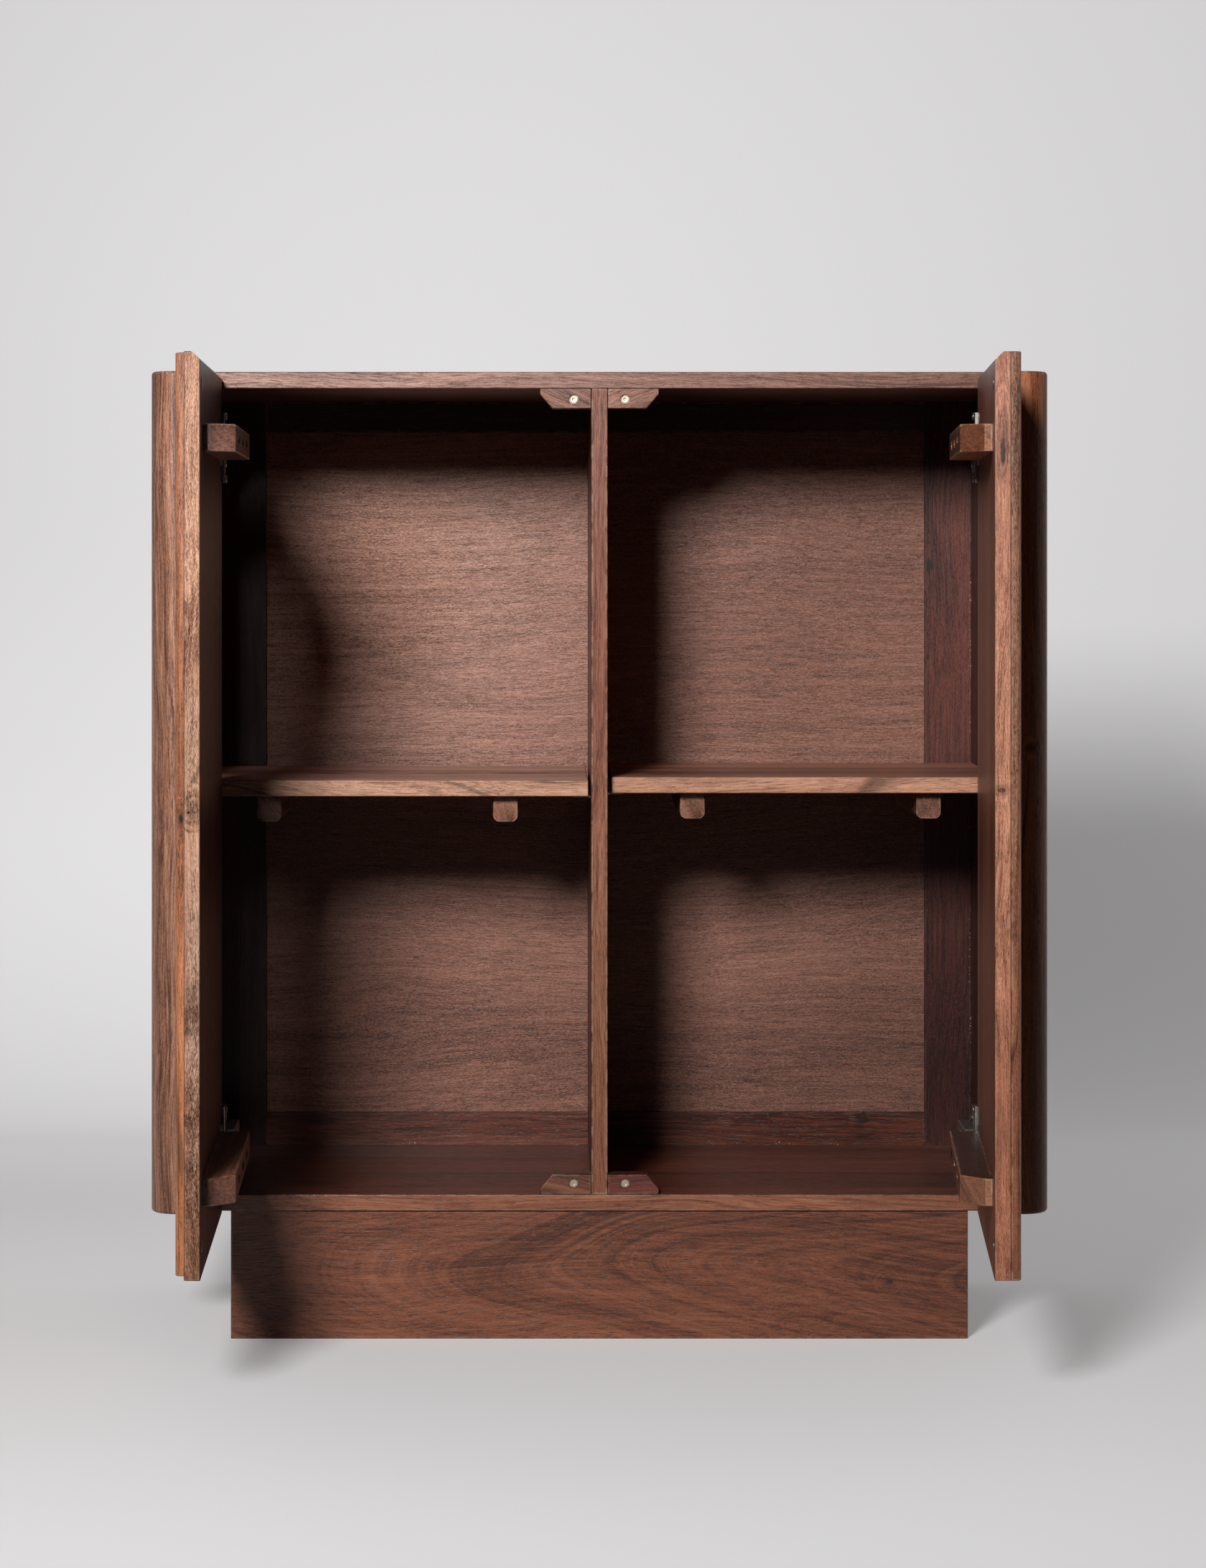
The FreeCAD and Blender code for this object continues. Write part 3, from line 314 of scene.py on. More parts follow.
def drawMarks(g, colour, place, xyz, facing, low, high, look):
    # painted shade in slots and in rings round fittings, the strip on a batten's end, and filler
    for centre, radii in look["pockets"]:
        colour = darken(g, colour, g.times(nearness(g, place, centre, radii, 0.15, 0.85, 1.1), paintedHollowShade))
    for centre, radius, width in look["sockets"]:
        far = g.vector("LENGTH", g.vector("SUBTRACT", place, centre), out="Value")
        far = g.timesPlus(g.noise(place, markScale["socket"]), 0.0012, g.minus(far, 0.0006))
        colour = darken(g, colour, g.times(g.fade(far, radius + width * 0.5, radius + width), paintedHollowShade))
    if look["strip"]:
        side, width, factors = look["strip"]
        onEnd = g.between(g.math("ABSOLUTE", facing[1]), *squareOn)
        inward = g.minus(xyz[0], low[0]) if side < 0 else g.minus(high[0], xyz[0])
        onStrip = g.times(g.fade(inward, width - stripForm["soft"], width + stripForm["soft"]), onEnd)
        colour = g.mix(onStrip, colour, g.vector("MULTIPLY", colour, factors))
        glueLine = g.fade(g.distance(inward, width), *stripForm["glue"], stripForm["glueDark"])
        colour = darken(g, colour, g.times(glueLine, onEnd))
    for axis, line, halfWidth in look["filler"]:
        crumbs = g.between(g.noise(place, markScale["crumbs"], 2.0, 0.7), *markFrom["crumbs"])
        runs = g.between(g.noise(place, markScale["runs"]), *markFrom["runs"])
        onLine = g.fade(g.distance(xyz[axis], line), halfWidth * 0.6, halfWidth)
        colour = g.mix(g.times(crumbs, runs, onLine), colour, screen(*markColour["filler"]))
    return colour


def woodMaterial(nodeName, changes):
    look = dict(plainWood, **changes)
    seed = look["seed"]
    g = Graph(bpy.data.materials.new(nodeName + "Wood"))
    place, xyz, low, high = boardPlace(g, nodeName)
    flow, w, reach, staveTone = grainPlace(g, xyz, low, high, look)
    reach, knotDark = addKnots(g, place, reach, look)

    # the figure: rings and their lines, drawn out along the board, then what follows the fibres
    turn = g.times(reach, look["rings"])
    slow = g.times(w, 0.55)
    figure = {
        "growth": g.noise(g.join(turn, slow, seed), ringScale["growth"], 2.0, 0.55),
        "line": g.noise(g.join(turn, slow, seed + 4.0), ringScale["line"], 4.0, 0.7),
        "fibre": g.noise(flow, grainScale["fibre"], 4.0, 0.66),
        "streak": g.noise(flow, grainScale["streak"], 3.0, 0.55),
        "cloud": g.noise(flow, grainScale["cloud"]),
        "grit": g.noise(flow, grainScale["grit"], 1.0),
    }
    if staveTone is not None:
        figure["stave"] = staveTone
    if look["rippleShow"]:
        chatter = g.minus(g.noise(flow, grainScale["ripple"], 3.0, 0.7, 1.6), 0.5)
        for centre, radii, more in look["rippleZone"]:
            zone = nearness(g, place, centre, radii, 0.2, 0.1)
            chatter = g.times(chatter, g.timesPlus(zone, more, 1.0))
        figure["ripple"] = g.math("ADD", chatter, 0.5)
    tone = midTone
    for name, layer in figure.items():
        tone = g.timesPlus(g.minus(layer, 0.5), look[name + "Show"], tone)
    torn = 0.0
    for centre, radii, depth in look["torn"]:
        flecks = g.noise(flow, grainScale["torn"], 2.0, 0.7)
        zone = g.times(nearness(g, place, centre, radii, 0.5, 0.4), depth)
        tone = g.timesPlus(g.minus(flecks, midTone), g.times(zone, 2.6), tone)
        torn = g.math("MAXIMUM", torn, zone)
    colour = g.ramp(tone, toneSteps)

    # the piece's own colour on each face, with painted shade on some faces and painted light and shade in some places
    facing = g.split(g.add("TexCoord", out="Normal"))
    ownColourAndShade = screen(*look["colour"])
    for axis, side, broadColour in look["broad"]:
        toward = g.times(facing[axis], float(side)) if side else g.math("ABSOLUTE", facing[axis])
        ownColourAndShade = g.mix(g.between(toward, *squareOn), ownColourAndShade, screen(*broadColour))
    colour = g.vector("MULTIPLY", colour, ownColourAndShade if look["broad"] else ownColourAndShade[:3])
    if look["torn"]:
        colour = g.mix(torn, colour, g.vector("MULTIPLY", colour, tornGrey))
    for centre, radii, factor in look["drift"]:
        factors = factor if isinstance(factor, tuple) else (factor,) * 3
        colour = g.mix(nearness(g, place, centre, radii, inner=0.0), colour, g.vector("MULTIPLY", colour, factors))
    for centre, radii, depth in look["bars"]:
        wavy = g.between(g.noise(flow, grainScale["bar"], 2.0, 0.6, 1.0), *markFrom["bar"])
        colour = darken(g, colour, g.times(wavy, nearness(g, place, centre, radii, 0.3), depth))

    # dark veins, open pores and knots
    contour = g.distance(g.noise(g.join(turn, slow, seed + 9.0), ringScale["vein"], 3.0), 0.5)
    patchy = g.between(g.noise(flow, grainScale["patch"]), *markFrom["patch"])
    vein = g.times(g.fade(contour, *veinReach), patchy, look["veinShow"])
    colour = g.mix(vein, colour, screen(*markColour["vein"]))
    pores = g.between(g.noise(flow, grainScale["pore"], 1.0), *markFrom["pore"])
    colour = darken(g, colour, g.times(pores, look["poreShow"]))
    if look["knots"]:
        colour = g.mix(knotDark, colour, screen(*markColour["knot"]))
    colour = drawArrises(g, colour, place, xyz, low, high, look)
    colour = drawMarks(g, colour, place, xyz, facing, low, high, look)

    # the surface: fibres stand up, pores lie open
    rough = g.timesPlus(figure["fibre"], rougher["fibre"], look["roughness"] - rougher["fibre"] / 2)
    rough = g.timesPlus(pores, rougher["pore"], rough)
    height = g.timesPlus(figure["fibre"], look["fibreShow"] * relief["fibre"], g.times(pores, relief["pore"]))
    height = g.timesPlus(figure["growth"], relief["growth"], height)
    if look["rippleShow"]:
        height = g.timesPlus(chatter, look["rippleShow"] * relief["ripple"], height)
    normal = g.add("Bump", dict(woodBump, Height=height))
    return g.finish(g.add("BsdfPrincipled", {"Base Color": colour, "Roughness": rough, "Normal": normal,
                                             "Specular IOR Level": look["gloss"]}))


# brushed, slightly blotched metal
metalFinish = {"fine": (900, 900, 160), "blotch": (120, 120, 120), "dull": 0.72, "scratch": 0.12}
metalBump = {"Strength": 0.15, "Distance": 0.0002}


def metalMaterial(name, colour, roughness):
    g = Graph(bpy.data.materials.new(name))
    place = g.add("TexCoord", out="Object")
    fine = g.noise(place, metalFinish["fine"], 3.0)
    blotch = g.noise(place, metalFinish["blotch"])
    shade = g.timesPlus(blotch, 0.5, g.times(fine, 0.3))
    dull = tuple(channel * metalFinish["dull"] for channel in colour[:3]) + (1.0,)
    rough = g.timesPlus(fine, metalFinish["scratch"], roughness)
    normal = g.add("Bump", dict(metalBump, Height=fine))
    return g.finish(g.add("BsdfPrincipled", {"Base Color": g.mix(shade, colour, dull), "Metallic": 1.0,
                                             "Roughness": rough, "Normal": normal}))


def dress(nodeName, material):
    # a CAD node keeps its mesh and gets a material
    nodes[nodeName].data.materials.clear()
    nodes[nodeName].data.materials.append(material)


# the battens' screws sit in long slots, which let the boards of the door move: places across and along
screwSlot = {"radius": 0.0050, "halfRun": 0.0130, "depth": 0.0044, "proud": 0.002,
             "left": ((-0.3775, -0.3154), (-0.3750, -0.4027), (-0.3726, -0.4899)),
             "right": ((0.3747, -0.3143), (0.3691, -0.4013), (0.3635, -0.4884))}
# the round magnets in the stops, and the ring of painted shade round each bore
stopMagnet = {"x": 0.028, "y": -0.1905, "radius": 0.0050, "ring": 0.0009}


def slotPockets(side, height):
    # painted shade inside a batten's slots, a little wider than the slots
    reach = screwSlot["radius"] + screwSlot["halfRun"]
    radii = (0.006, reach + 0.002, screwSlot["radius"] + 0.0012)
    return tuple((place + (height,), radii) for place in screwSlot[side])


def magnetRing(side, height):
    return (((stopMagnet["x"] * side, stopMagnet["y"], height), stopMagnet["radius"], stopMagnet["ring"]),)


# which wood each piece is cut from
pieceWood = {
    # left side: its inner face is painted darker as shade inside the case, and its upper part paler as painted light
    # where the key falls strongest
    "left_side_panel": {"seed": 3.1, "pith": (-0.12, -0.10), "colour": (151, 104, 81), "gritShow": 0.8,
                        "growthShow": 1.5, "lineShow": 1.1, "fibreShow": 1.8, "broad": ((0, 1, (74, 42, 34)),),
                        "drift": (((-0.48, -0.2, 1.0), (0.2, 0.4, 0.6), 1.18),
                                  ((-0.4712, -0.2175, 0.76), (0.0026, 0.08, 0.19), 0.5),
                                  ((-0.4660, -0.2175, 0.40), (0.0022, 0.08, 0.22), 0.65))},
    "right_side_panel": {"seed": 7.7, "pith": (0.12, -0.17), "colour": (163, 100, 68), "gritShow": 0.64, "gloss": 0.22,
                         # the inner face is painted darker as shade inside the case
                         "broad": ((0, -1, (70, 38, 29)),), "growthShow": 1.5, "veinShow": 0.8,
                         "knots": (((0.4698, -0.2175, 0.646), (0.0030, 0.02, 0.0030), 0.95, 0.3),
                                   ((0.4759, -0.2150, 0.631), (0.0009, 0.02, 0.0150), 0.9, 0),
                                   ((0.4768, -0.2150, 0.457), (0.0018, 0.02, 0.0024), 0.95, 0))},
    # top: its underside is painted darker as shade, and its left part paler as a painted sheen
    "top_panel": {"grain": "X", "seed": 1.3, "pith": (0.10, -0.10), "stave": 0.11,
                  "colour": (141, 97, 81), "broad": ((2, -1, (74, 42, 34)),), "roughness": 0.40, "gritShow": 0.72,
                  "drift": (((-0.35, -0.2, 1.045), (0.55, 0.5, 0.5), 1.22),)},
    # base: its top and bottom faces are painted darker as shade inside the case
    "base_panel": {"grain": "X", "seed": 5.2, "pith": (0.10, -0.05), "stave": 0.12,
                   "colour": (142, 86, 60), "broad": ((2, 0, (104, 53, 36)),), "roughness": 0.33, "fibreShow": 1.7},
    "centre_divider": {"seed": 2.4, "pith": (0.05, -0.26), "colour": (140, 80, 59), "worn": 0.7, "fibreShow": 1.6,
                       "drift": (((0.0, -0.19, 0.9), (0.1, 0.1, 0.4), 0.95),
                                 ((0.0, -0.19, 0.35), (0.1, 0.1, 0.4), (1.0, 1.22, 1.14))),
                       # both sides of the divider are painted darker as shade inside the compartments
                       "broad": ((0, 0, (88, 46, 34)),), "growthShow": 0.8},
    # the front face is painted darker as shade inside the case
    "back_stile_left": {"seed": 4.0, "colour": (112, 64, 48), "broad": ((1, -1, (58, 29, 24)),), "roughness": 0.32,
                        "worn": 0.08},
    # the front face is painted darker as shade inside the case
    "back_stile_right": {"seed": 6.1, "colour": (112, 64, 48), "broad": ((1, -1, (82, 38, 27)),), "roughness": 0.37,
                         "poreShow": 0.3, "gritShow": 1.44, "fibreShow": 1.7, "streakShow": 0.3, "cloudShow": 1.5,
                         "knots": (((0.3950, 0.1955, 0.843), (0.0050, 0.02, 0.0130), 0.9, 0),),
                         "drift": (((0.40, 0.2, 0.90), (0.4, 0.4, 0.42), 1.4),
                                   ((0.42, 0.2, 0.80), (0.012, 0.4, 0.10), 0.7),
                                   ((0.40, 0.2, 0.25), (0.4, 0.4, 0.35), (0.45, 0.23, 0.17))),
                         "filler": ((0, 0.4435, 0.0016),), "worn": 0.08, "lineShow": 0.5},
    "back_rail_bottom": {"grain": "X", "seed": 8.3, "colour": (98, 48, 31), "roughness": 0.30, "worn": 0.08,
                         # the right part is painted darker and redder, as painted shade where the key light falls off
                         "fibreShow": 2.0, "drift": (((0.25, 0.2, 0.18), (0.28, 0.2, 0.2), (0.87, 0.62, 0.44)),),
                         "bars": (((0.318, 0.2, 0.20), (0.045, 0.2, 0.06), 0.75),
                                  ((0.165, 0.2, 0.20), (0.09, 0.2, 0.06), 0.5)),
                         "filler": ((2, 0.1605, 0.0022),)},
    # the front face is painted darker as shade under the top
    "back_rail_top": {"grain": "X", "seed": 9.9, "colour": (112, 64, 48), "broad": ((1, -1, (66, 38, 29)),),
                      "roughness": 0.32},
    "back_panel": {"grain": "X", "seed": 2.2, "colour": (140, 90, 71), "rings": 14.0, "growthShow": 0.45,
                   "lineShow": 0.35, "veinShow": 0.15, "poreShow": 0.35, "cloudShow": 0.65, "rippleShow": 0.36,
                   "rippleZone": (((-0.27, 0.2, 0.83), (0.20, 1.0, 0.20), 2.4),),
                   "fibreShow": 1.0, "gritShow": 1.3, "streakShow": 0.5, "pith": (0.3, 0.5), "seam": 0.0, "worn": 0.0,
                   # painted light and shade: the upper left paler as a painted sheen, the upper right and the lower
                   # right darker where the key light falls off
                   "drift": (((-0.20, 0.20, 0.82), (0.30, 1.0, 0.40), (1.46, 1.80, 1.98)),
                             ((0.25, 0.20, 0.84), (0.30, 1.0, 0.40), 0.90),
                             ((0.30, 0.20, 0.20), (0.5, 1.0, 0.5), 0.76))},
    "plinth_front": {"grain": "X", "seed": 6.6, "pith": (0.002, -0.045), "wobble": 0.024, "rings": 62.0,
                     "taper": -0.20, "knots": (((0.317, -0.187, 0.062), (0.0045, 0.02, 0.0035), 0.8, 0),),
                     "colour": (130, 74, 50), "gritShow": 0.64, "growthShow": 0.62, "lineShow": 1.0, "veinShow": 0.5,
                     "drift": (((-0.36, -0.187, 0.07), (0.10, 0.2, 0.2), (1.0, 1.06, 1.19)),)},
    "plinth_back": {"grain": "X", "seed": 1.9, "colour": (128, 74, 51)},
    "plinth_left_end": {"grain": "Y", "seed": 2.9, "colour": (128, 74, 51)},
    "plinth_right_end": {"grain": "Y", "seed": 3.9, "colour": (128, 74, 51)},
    "plinth_centre_rail": {"grain": "Y", "seed": 4.9},
    "plinth_corner_blocks": {"seed": 5.9},
    "case_dowels": {"grain": "X", "seed": 1.1, "colour": (187, 134, 105)},
    "hinge_blocks": {"seed": 0.6, "colour": (92, 50, 38)},
    "top_left_stop": {"grain": "X", "seed": 0.4, "slope": 0.5, "colour": (150, 99, 80), "seam": 0.85,
                      "sockets": magnetRing(-1, 1.025)},
    "top_right_stop": {"grain": "X", "seed": 1.4, "slope": -0.4, "colour": (141, 89, 69), "seam": 0.85,
                       "sockets": magnetRing(1, 1.025)},
    "bottom_left_stop": {"grain": "X", "seed": 2.6, "slope": 0.3, "colour": (122, 72, 51), "seam": 0.85,
                         "sockets": magnetRing(-1, 0.17)},
    "bottom_right_stop": {"grain": "X", "seed": 3.6, "colour": (102, 42, 29), "seam": 0.85,
                          "sockets": magnetRing(1, 0.17)},
    # the shelves' undersides are painted darker as shade
    "left_shelf": {"grain": "X", "seed": 4.4, "slope": 0.09, "colour": (188, 136, 107),
                   "broad": ((2, 1, (196, 143, 124)), (2, -1, (90, 52, 40))), "stave": 0.09},
    "right_shelf": {"grain": "X", "seed": 5.4, "slope": -0.05, "colour": (177, 123, 95),
                    "broad": ((2, 1, (158, 102, 81)), (2, -1, (90, 52, 40))), "stave": 0.08},
    "left_shelf_outer_batten": {"grain": "Y", "seed": 0.9},
    "left_shelf_inner_batten": {"grain": "Y", "seed": 1.8},
    "right_shelf_outer_batten": {"grain": "Y", "seed": 2.7},
    "right_shelf_inner_batten": {"grain": "Y", "seed": 3.3},
    "left_door_core": {"seed": 12.6, "stave": 0.088, "colour": (175, 125, 98), "gritShow": 0.96, "gloss": 0.12,
                       # the inner face is painted darker as shade, as it faces away from the key light
                       "broad": ((0, 1, (68, 38, 29)), (0, -1, (126, 78, 56))), "staveShow": 0.25, "seam": 0.8,
                       "knots": (((-0.4040, -0.6357, 0.6043), (0.0038, 0.008, 0.0056), 1.0, 0.6),
                                 ((-0.4102, -0.6357, 0.6010), (0.0022, 0.006, 0.0020), 0.9, 0)),
                       "torn": (((-0.4068, -0.6357, 0.66), (0.007, 0.02, 0.10), 0.8),
                                ((-0.4050, -0.6357, 0.38), (0.007, 0.02, 0.28), 0.8)),
                       # the upper part is painted paler, as a painted highlight
                       "drift": (((-0.4068, -0.6357, 0.90), (0.03, 0.1, 0.35), (1.40, 1.56, 1.70)),
                                 ((-0.4068, -0.6357, 0.40), (0.03, 0.1, 0.30), (1.03, 1.08, 1.18)))},
    "left_door_face": {"seed": 14.1, "stave": 0.09, "colour": (166, 100, 63), "gritShow": 0.8,
                       "broad": ((0, 0, (158, 99, 71)),), "staveShow": 0.25, "seam": 0.9, "worn": 0.6,
                       "knots": (((-0.4199, -0.6088, 0.5936), (0.0032, 0.01, 0.0062), 1.0, 0),
                                 ((-0.4223, -0.6088, 0.6010), (0.0030, 0.01, 0.0050), 0.6, 0)),
                       "drift": (((-0.4221, -0.6088, 0.25), (0.0012, 0.05, 0.22), 0.4),
                                 ((-0.42, -0.6088, 0.35), (0.03, 0.1, 0.30), 1.12))},
    "right_door_core": {"seed": 7.66, "stave": 0.085, "colour": (204, 138, 107), "gritShow": 0.72,
                        "broad": ((0, 0, (124, 73, 53)),), "growthShow": 0.55, "veinShow": 0.3, "lineShow": 0.6,
                        "staveShow": 0.25, "seam": 0.35,
                        "drift": (((0.392, -0.6351, 0.22), (0.05, 0.1, 0.42), (0.80, 0.68, 0.64)),
                                  ((0.392, -0.6351, 0.64), (0.05, 0.1, 0.30), 1.08),
                                  ((0.392, -0.6351, 1.02), (0.05, 0.1, 0.36), (0.82, 0.74, 0.76))),
                        "knots": (((0.3897, -0.6351, 0.6228), (0.0070, 0.012, 0.0036), 0.75, 0),
                                  ((0.3915, -0.6351, 0.9555), (0.0034, 0.012, 0.0180), 0.85, 0))},
    "right_door_face": {"seed": 12.3, "stave": 0.09, "colour": (157, 99, 72), "gritShow": 0.96, "staveShow": 0.25,
                        "seam": 0.35, "worn": 0.8, "torn": (((0.4046, -0.6354, 0.92), (0.009, 0.02, 0.5), 0.9),),
                        "drift": (((0.405, -0.6354, 0.22), (0.05, 0.1, 0.42), (0.86, 0.76, 0.70)),)},
    "left_door_top_batten": {"grain": "Y", "seed": 6.9, "colour": (164, 118, 101), "broad": ((0, 0, (120, 74, 56)),),
                             "strip": (-1, 0.0071, (1.5, 1.6, 1.7)), "worn": 0.7,
                             "pockets": slotPockets("left", 0.9715)},
    "left_door_bottom_batten": {"grain": "Y", "seed": 7.9, "colour": (140, 92, 72), "broad": ((0, 0, (120, 74, 56)),),
                                "strip": (-1, 0.0071, (1.5, 1.7, 1.9)), "worn": 0.7,
                                "pockets": slotPockets("left", 0.22)},
    "right_door_top_batten": {"grain": "Y", "seed": 8.9, "colour": (147, 84, 52), "broad": ((0, 0, (72, 39, 28)),),
                              "strip": (1, 0.0098, (1.25, 1.5, 1.9)), "worn": 0.7,
                              "pockets": slotPockets("right", 0.9715)},
    "right_door_bottom_batten": {"grain": "Y", "seed": 9.7, "colour": (150, 94, 64), "roughness": 0.3,
                                 "broad": ((0, 0, (110, 62, 44)), (2, 1, (62, 36, 28))),
                                 "strip": (1, 0.0080, (1.2, 1.35, 1.5)), "worn": 0.7,
                                 "pockets": slotPockets("right", 0.22)},
}
for nodeName, changes in pieceWood.items():
    dress(nodeName, woodMaterial(nodeName, changes))
print("stage: wood on", len(pieceWood), "nodes")

# boards whose sharp arrises are eased: width of the ease, and the nodes
easedBoards = {
    "case_board": (0.0011, ("top_panel", "base_panel", "centre_divider")),
    "plinth_board": (0.0012, ("plinth_front", "plinth_back", "plinth_left_end", "plinth_right_end")),
    "stop_wood": (0.0009, ("top_left_stop", "top_right_stop", "bottom_left_stop", "bottom_right_stop")),
    "shelf_board": (0.0010, ("left_shelf", "right_shelf", "left_shelf_outer_batten", "left_shelf_inner_batten",
                             "right_shelf_outer_batten", "right_shelf_inner_batten")),
    "door_core_wood": (0.0010, ("left_door_core", "right_door_core")),
    "door_face_wood": (0.0012, ("left_door_face", "right_door_face")),
    "door_batten": (0.0014, ("left_door_top_batten", "left_door_bottom_batten", "right_door_top_batten",
                             "right_door_bottom_batten")),
}
# in degrees, where shading breaks, where an edge is an arris and where faces merge; and the reach of a weld
meshLimits = {"sharp": 38, "arris": 30, "flat": 1, "weld": 1e-6}
# arrises shorter than boardFrom and hingeFrom stay sharp
easeForm = {"segments": 3, "boardFrom": 0.009, "hingeFrom": 0.0015, "hingeWidth": 0.00025}


def meshData(mesh, name):
    # a finished bmesh becomes mesh data with smooth faces
    for face in mesh.faces:
        face.smooth = True
    data = bpy.data.meshes.new(name)
    mesh.to_mesh(data)
    mesh.free()
    return data


def inScene(name, data):
    thing = bpy.data.objects.new(name, data)
    bpy.context.scene.collection.objects.link(thing)
    return thing


def asPiece(name, mesh, material, standsFor):
    # a finished bmesh becomes an object that rides with the node it stands for
    data = meshData(mesh, name)
    data.materials.append(material)
    data.set_sharp_from_angle(angle=math.radians(meshLimits["sharp"]))
    piece = inScene(name, data)
    evenNormals = piece.modifiers.new("evenNormals", "WEIGHTED_NORMAL")
    evenNormals.keep_sharp = True
    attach(piece, nodes[standsFor].parent.name.removeprefix("body:"))
    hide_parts(standsFor)


def weldedCopy(nodeName):
    mesh = bmesh.new()
    mesh.from_mesh(nodes[nodeName].data)
    bmesh.ops.remove_doubles(mesh, verts=mesh.verts, dist=meshLimits["weld"])
    return mesh


def longAxis(points, middle):
    # the line that the points lie along: their spread, applied to a slanting line over and over
    spread = Matrix(((0.0,) * 3,) * 3)
    for point in points:
        off = point - middle
        for row in range(3):
            for column in range(3):
                spread[row][column] += off[row] * off[column]
    line = Vector((0.3, 0.5, 0.7))
    for _ in range(60):
        line = (spread @ line).normalized()
    return line


def loosePieces(nodeName):
    # the separate solids of a CAD node, each as its points, its middle and the line it lies along
    mesh = weldedCopy(nodeName)
    found, seen = [], set()
    for start in mesh.verts:
        if start in seen:
            continue
        seen.add(start)
        waiting, points = [start], []
        while waiting:
            vert = waiting.pop()
            points.append(vert.co.copy())
            for edge in vert.link_edges:
                other = edge.other_vert(vert)
                if other not in seen:
                    seen.add(other)
                    waiting.append(other)
        middle = sum(points, Vector()) / len(points)
        found.append((points, middle, longAxis(points, middle)))
    mesh.free()
    return found


def camelCase(nodeName, ending):
    words = nodeName.split("_")
    return words[0] + "".join(word.title() for word in words[1:]) + ending


def alongLine(origin, direction):
    # takes the z axis to a direction and the origin to a place
    turn = direction.to_track_quat("Z", "Y").to_matrix().to_4x4()
    return Matrix.Translation(origin) @ turn


def pushUp(mesh, face, rise):
    # draws a flat face up into a prism; gives back the points of its lid
    raised = bmesh.ops.extrude_face_region(mesh, geom=[face])["geom"]
    lid = [item for item in raised if isinstance(item, bmesh.types.BMVert)]
    bmesh.ops.translate(mesh, vec=(0, 0, rise), verts=lid)
    return lid


def cutAway(mesh, cutter):
    # takes one closed shape out of another
    shape, tool = (inScene(name, meshData(part, name)) for part, name in ((mesh, "cutShape"), (cutter, "cutTool")))
    cut = shape.modifiers.new("cut", "BOOLEAN")
    cut.operation, cut.solver, cut.object = "DIFFERENCE", "EXACT", tool
    bpy.context.view_layer.update()
    finished = bpy.data.meshes.new_from_object(shape.evaluated_get(bpy.context.evaluated_depsgraph_get()))
    result = bmesh.new()
    result.from_mesh(finished)
    for data in (finished, shape.data, tool.data):
        bpy.data.meshes.remove(data)
    return result


def slotCutter(nodeName):
    # three round-ended slots, down to the screws' seats
    side = nodeName.split("_")[0]
    inward = Vector((1.0 if side == "left" else -1.0, 0, 0))
    corners = [vert.co for vert in nodes[nodeName].data.vertices]
    low, high = min(corner.z for corner in corners), max(corner.z for corner in corners)
    cutter = bmesh.new()
    for _, middle, line in loosePieces(side + "_batten_screws"):
        if not low < middle.z < high:
            continue
        line = line if line.dot(inward) > 0 else -line
        face = max(corner.dot(line) for corner in corners)
        seat = middle + line * (face - screwSlot["depth"] - middle.dot(line))
        disc = bmesh.ops.create_circle(cutter, cap_ends=True, segments=24, radius=screwSlot["radius"])["verts"]
        for vert in disc:
            # the two points on the middle line stay, the others move apart
            vert.co.x += math.copysign(screwSlot["halfRun"], vert.co.x) if abs(vert.co.x) > 1e-5 else 0.0
        lid = pushUp(cutter, disc[0].link_faces[0], screwSlot["depth"] + screwSlot["proud"])
        bmesh.ops.transform(cutter, matrix=alongLine(seat, line), verts=disc + lid)
    bmesh.ops.recalc_face_normals(cutter, faces=cutter.faces)
    return cutter


def easedCopy(nodeName, slotName, width, shortest):
    # a copy of a CAD node with its arrises rounded, apart from the shortest
    mesh = weldedCopy(nodeName)
    bmesh.ops.dissolve_limit(mesh, angle_limit=math.radians(meshLimits["flat"]), verts=mesh.verts, edges=mesh.edges)
    arrises = [edge for edge in mesh.edges if len(edge.link_faces) == 2 and edge.calc_length() > shortest
               and edge.calc_face_angle(0) > math.radians(meshLimits["arris"])]
    bmesh.ops.bevel(mesh, geom=arrises, offset=width, affect="EDGES", segments=easeForm["segments"], profile=0.5,
                    material=-1)
    if slotName == "door_batten":
        mesh = cutAway(mesh, slotCutter(nodeName))
    asPiece(camelCase(nodeName, "Eased"), mesh, nodes[nodeName].data.materials[0], nodeName)


for slotName, (width, names) in easedBoards.items():
    for nodeName in names:
        easedCopy(nodeName, slotName, width, easeForm["boardFrom"])
print("stage: arrises eased")

# the metals, each with its colour on a screen and the nodes it is on
metalLooks = {
    "hingeSteel": {"colour": (150, 146, 139), "roughness": 0.32, "on": (
        "left_hinge_cups", "right_hinge_cups", "left_hinge_links", "right_hinge_links", "hinge_arms", "hinge_plates")},
    "screwSteel": {"colour": (188, 186, 180), "roughness": 0.3, "on": (
        "plinth_screws", "hinge_plate_screws", "hinge_arm_screws", "hinge_arm_pins", "left_cup_pins",
        "right_cup_pins", "left_cup_screws", "right_cup_screws", "left_batten_screws", "right_batten_screws",
        "left_shelf_pins", "right_shelf_pins")},
    "strikeSteel": {"colour": (118, 114, 108), "roughness": 0.36, "on": ("left_door_strikes", "right_door_strikes")},
    "magnetSteel": {"colour": (216, 191, 171), "roughness": 0.34, "on": ("catch_magnets",)},
}
for name, look in metalLooks.items():
    metal = metalMaterial(name, screen(*look["colour"]), look["roughness"])
    for nodeName in look["on"]:
        dress(nodeName, metal)
for nodeName in metalLooks["hingeSteel"]["on"]:
    easedCopy(nodeName, "hinge_steel", easeForm["hingeWidth"], easeForm["hingeFrom"])
print("stage: metal on the hardware")

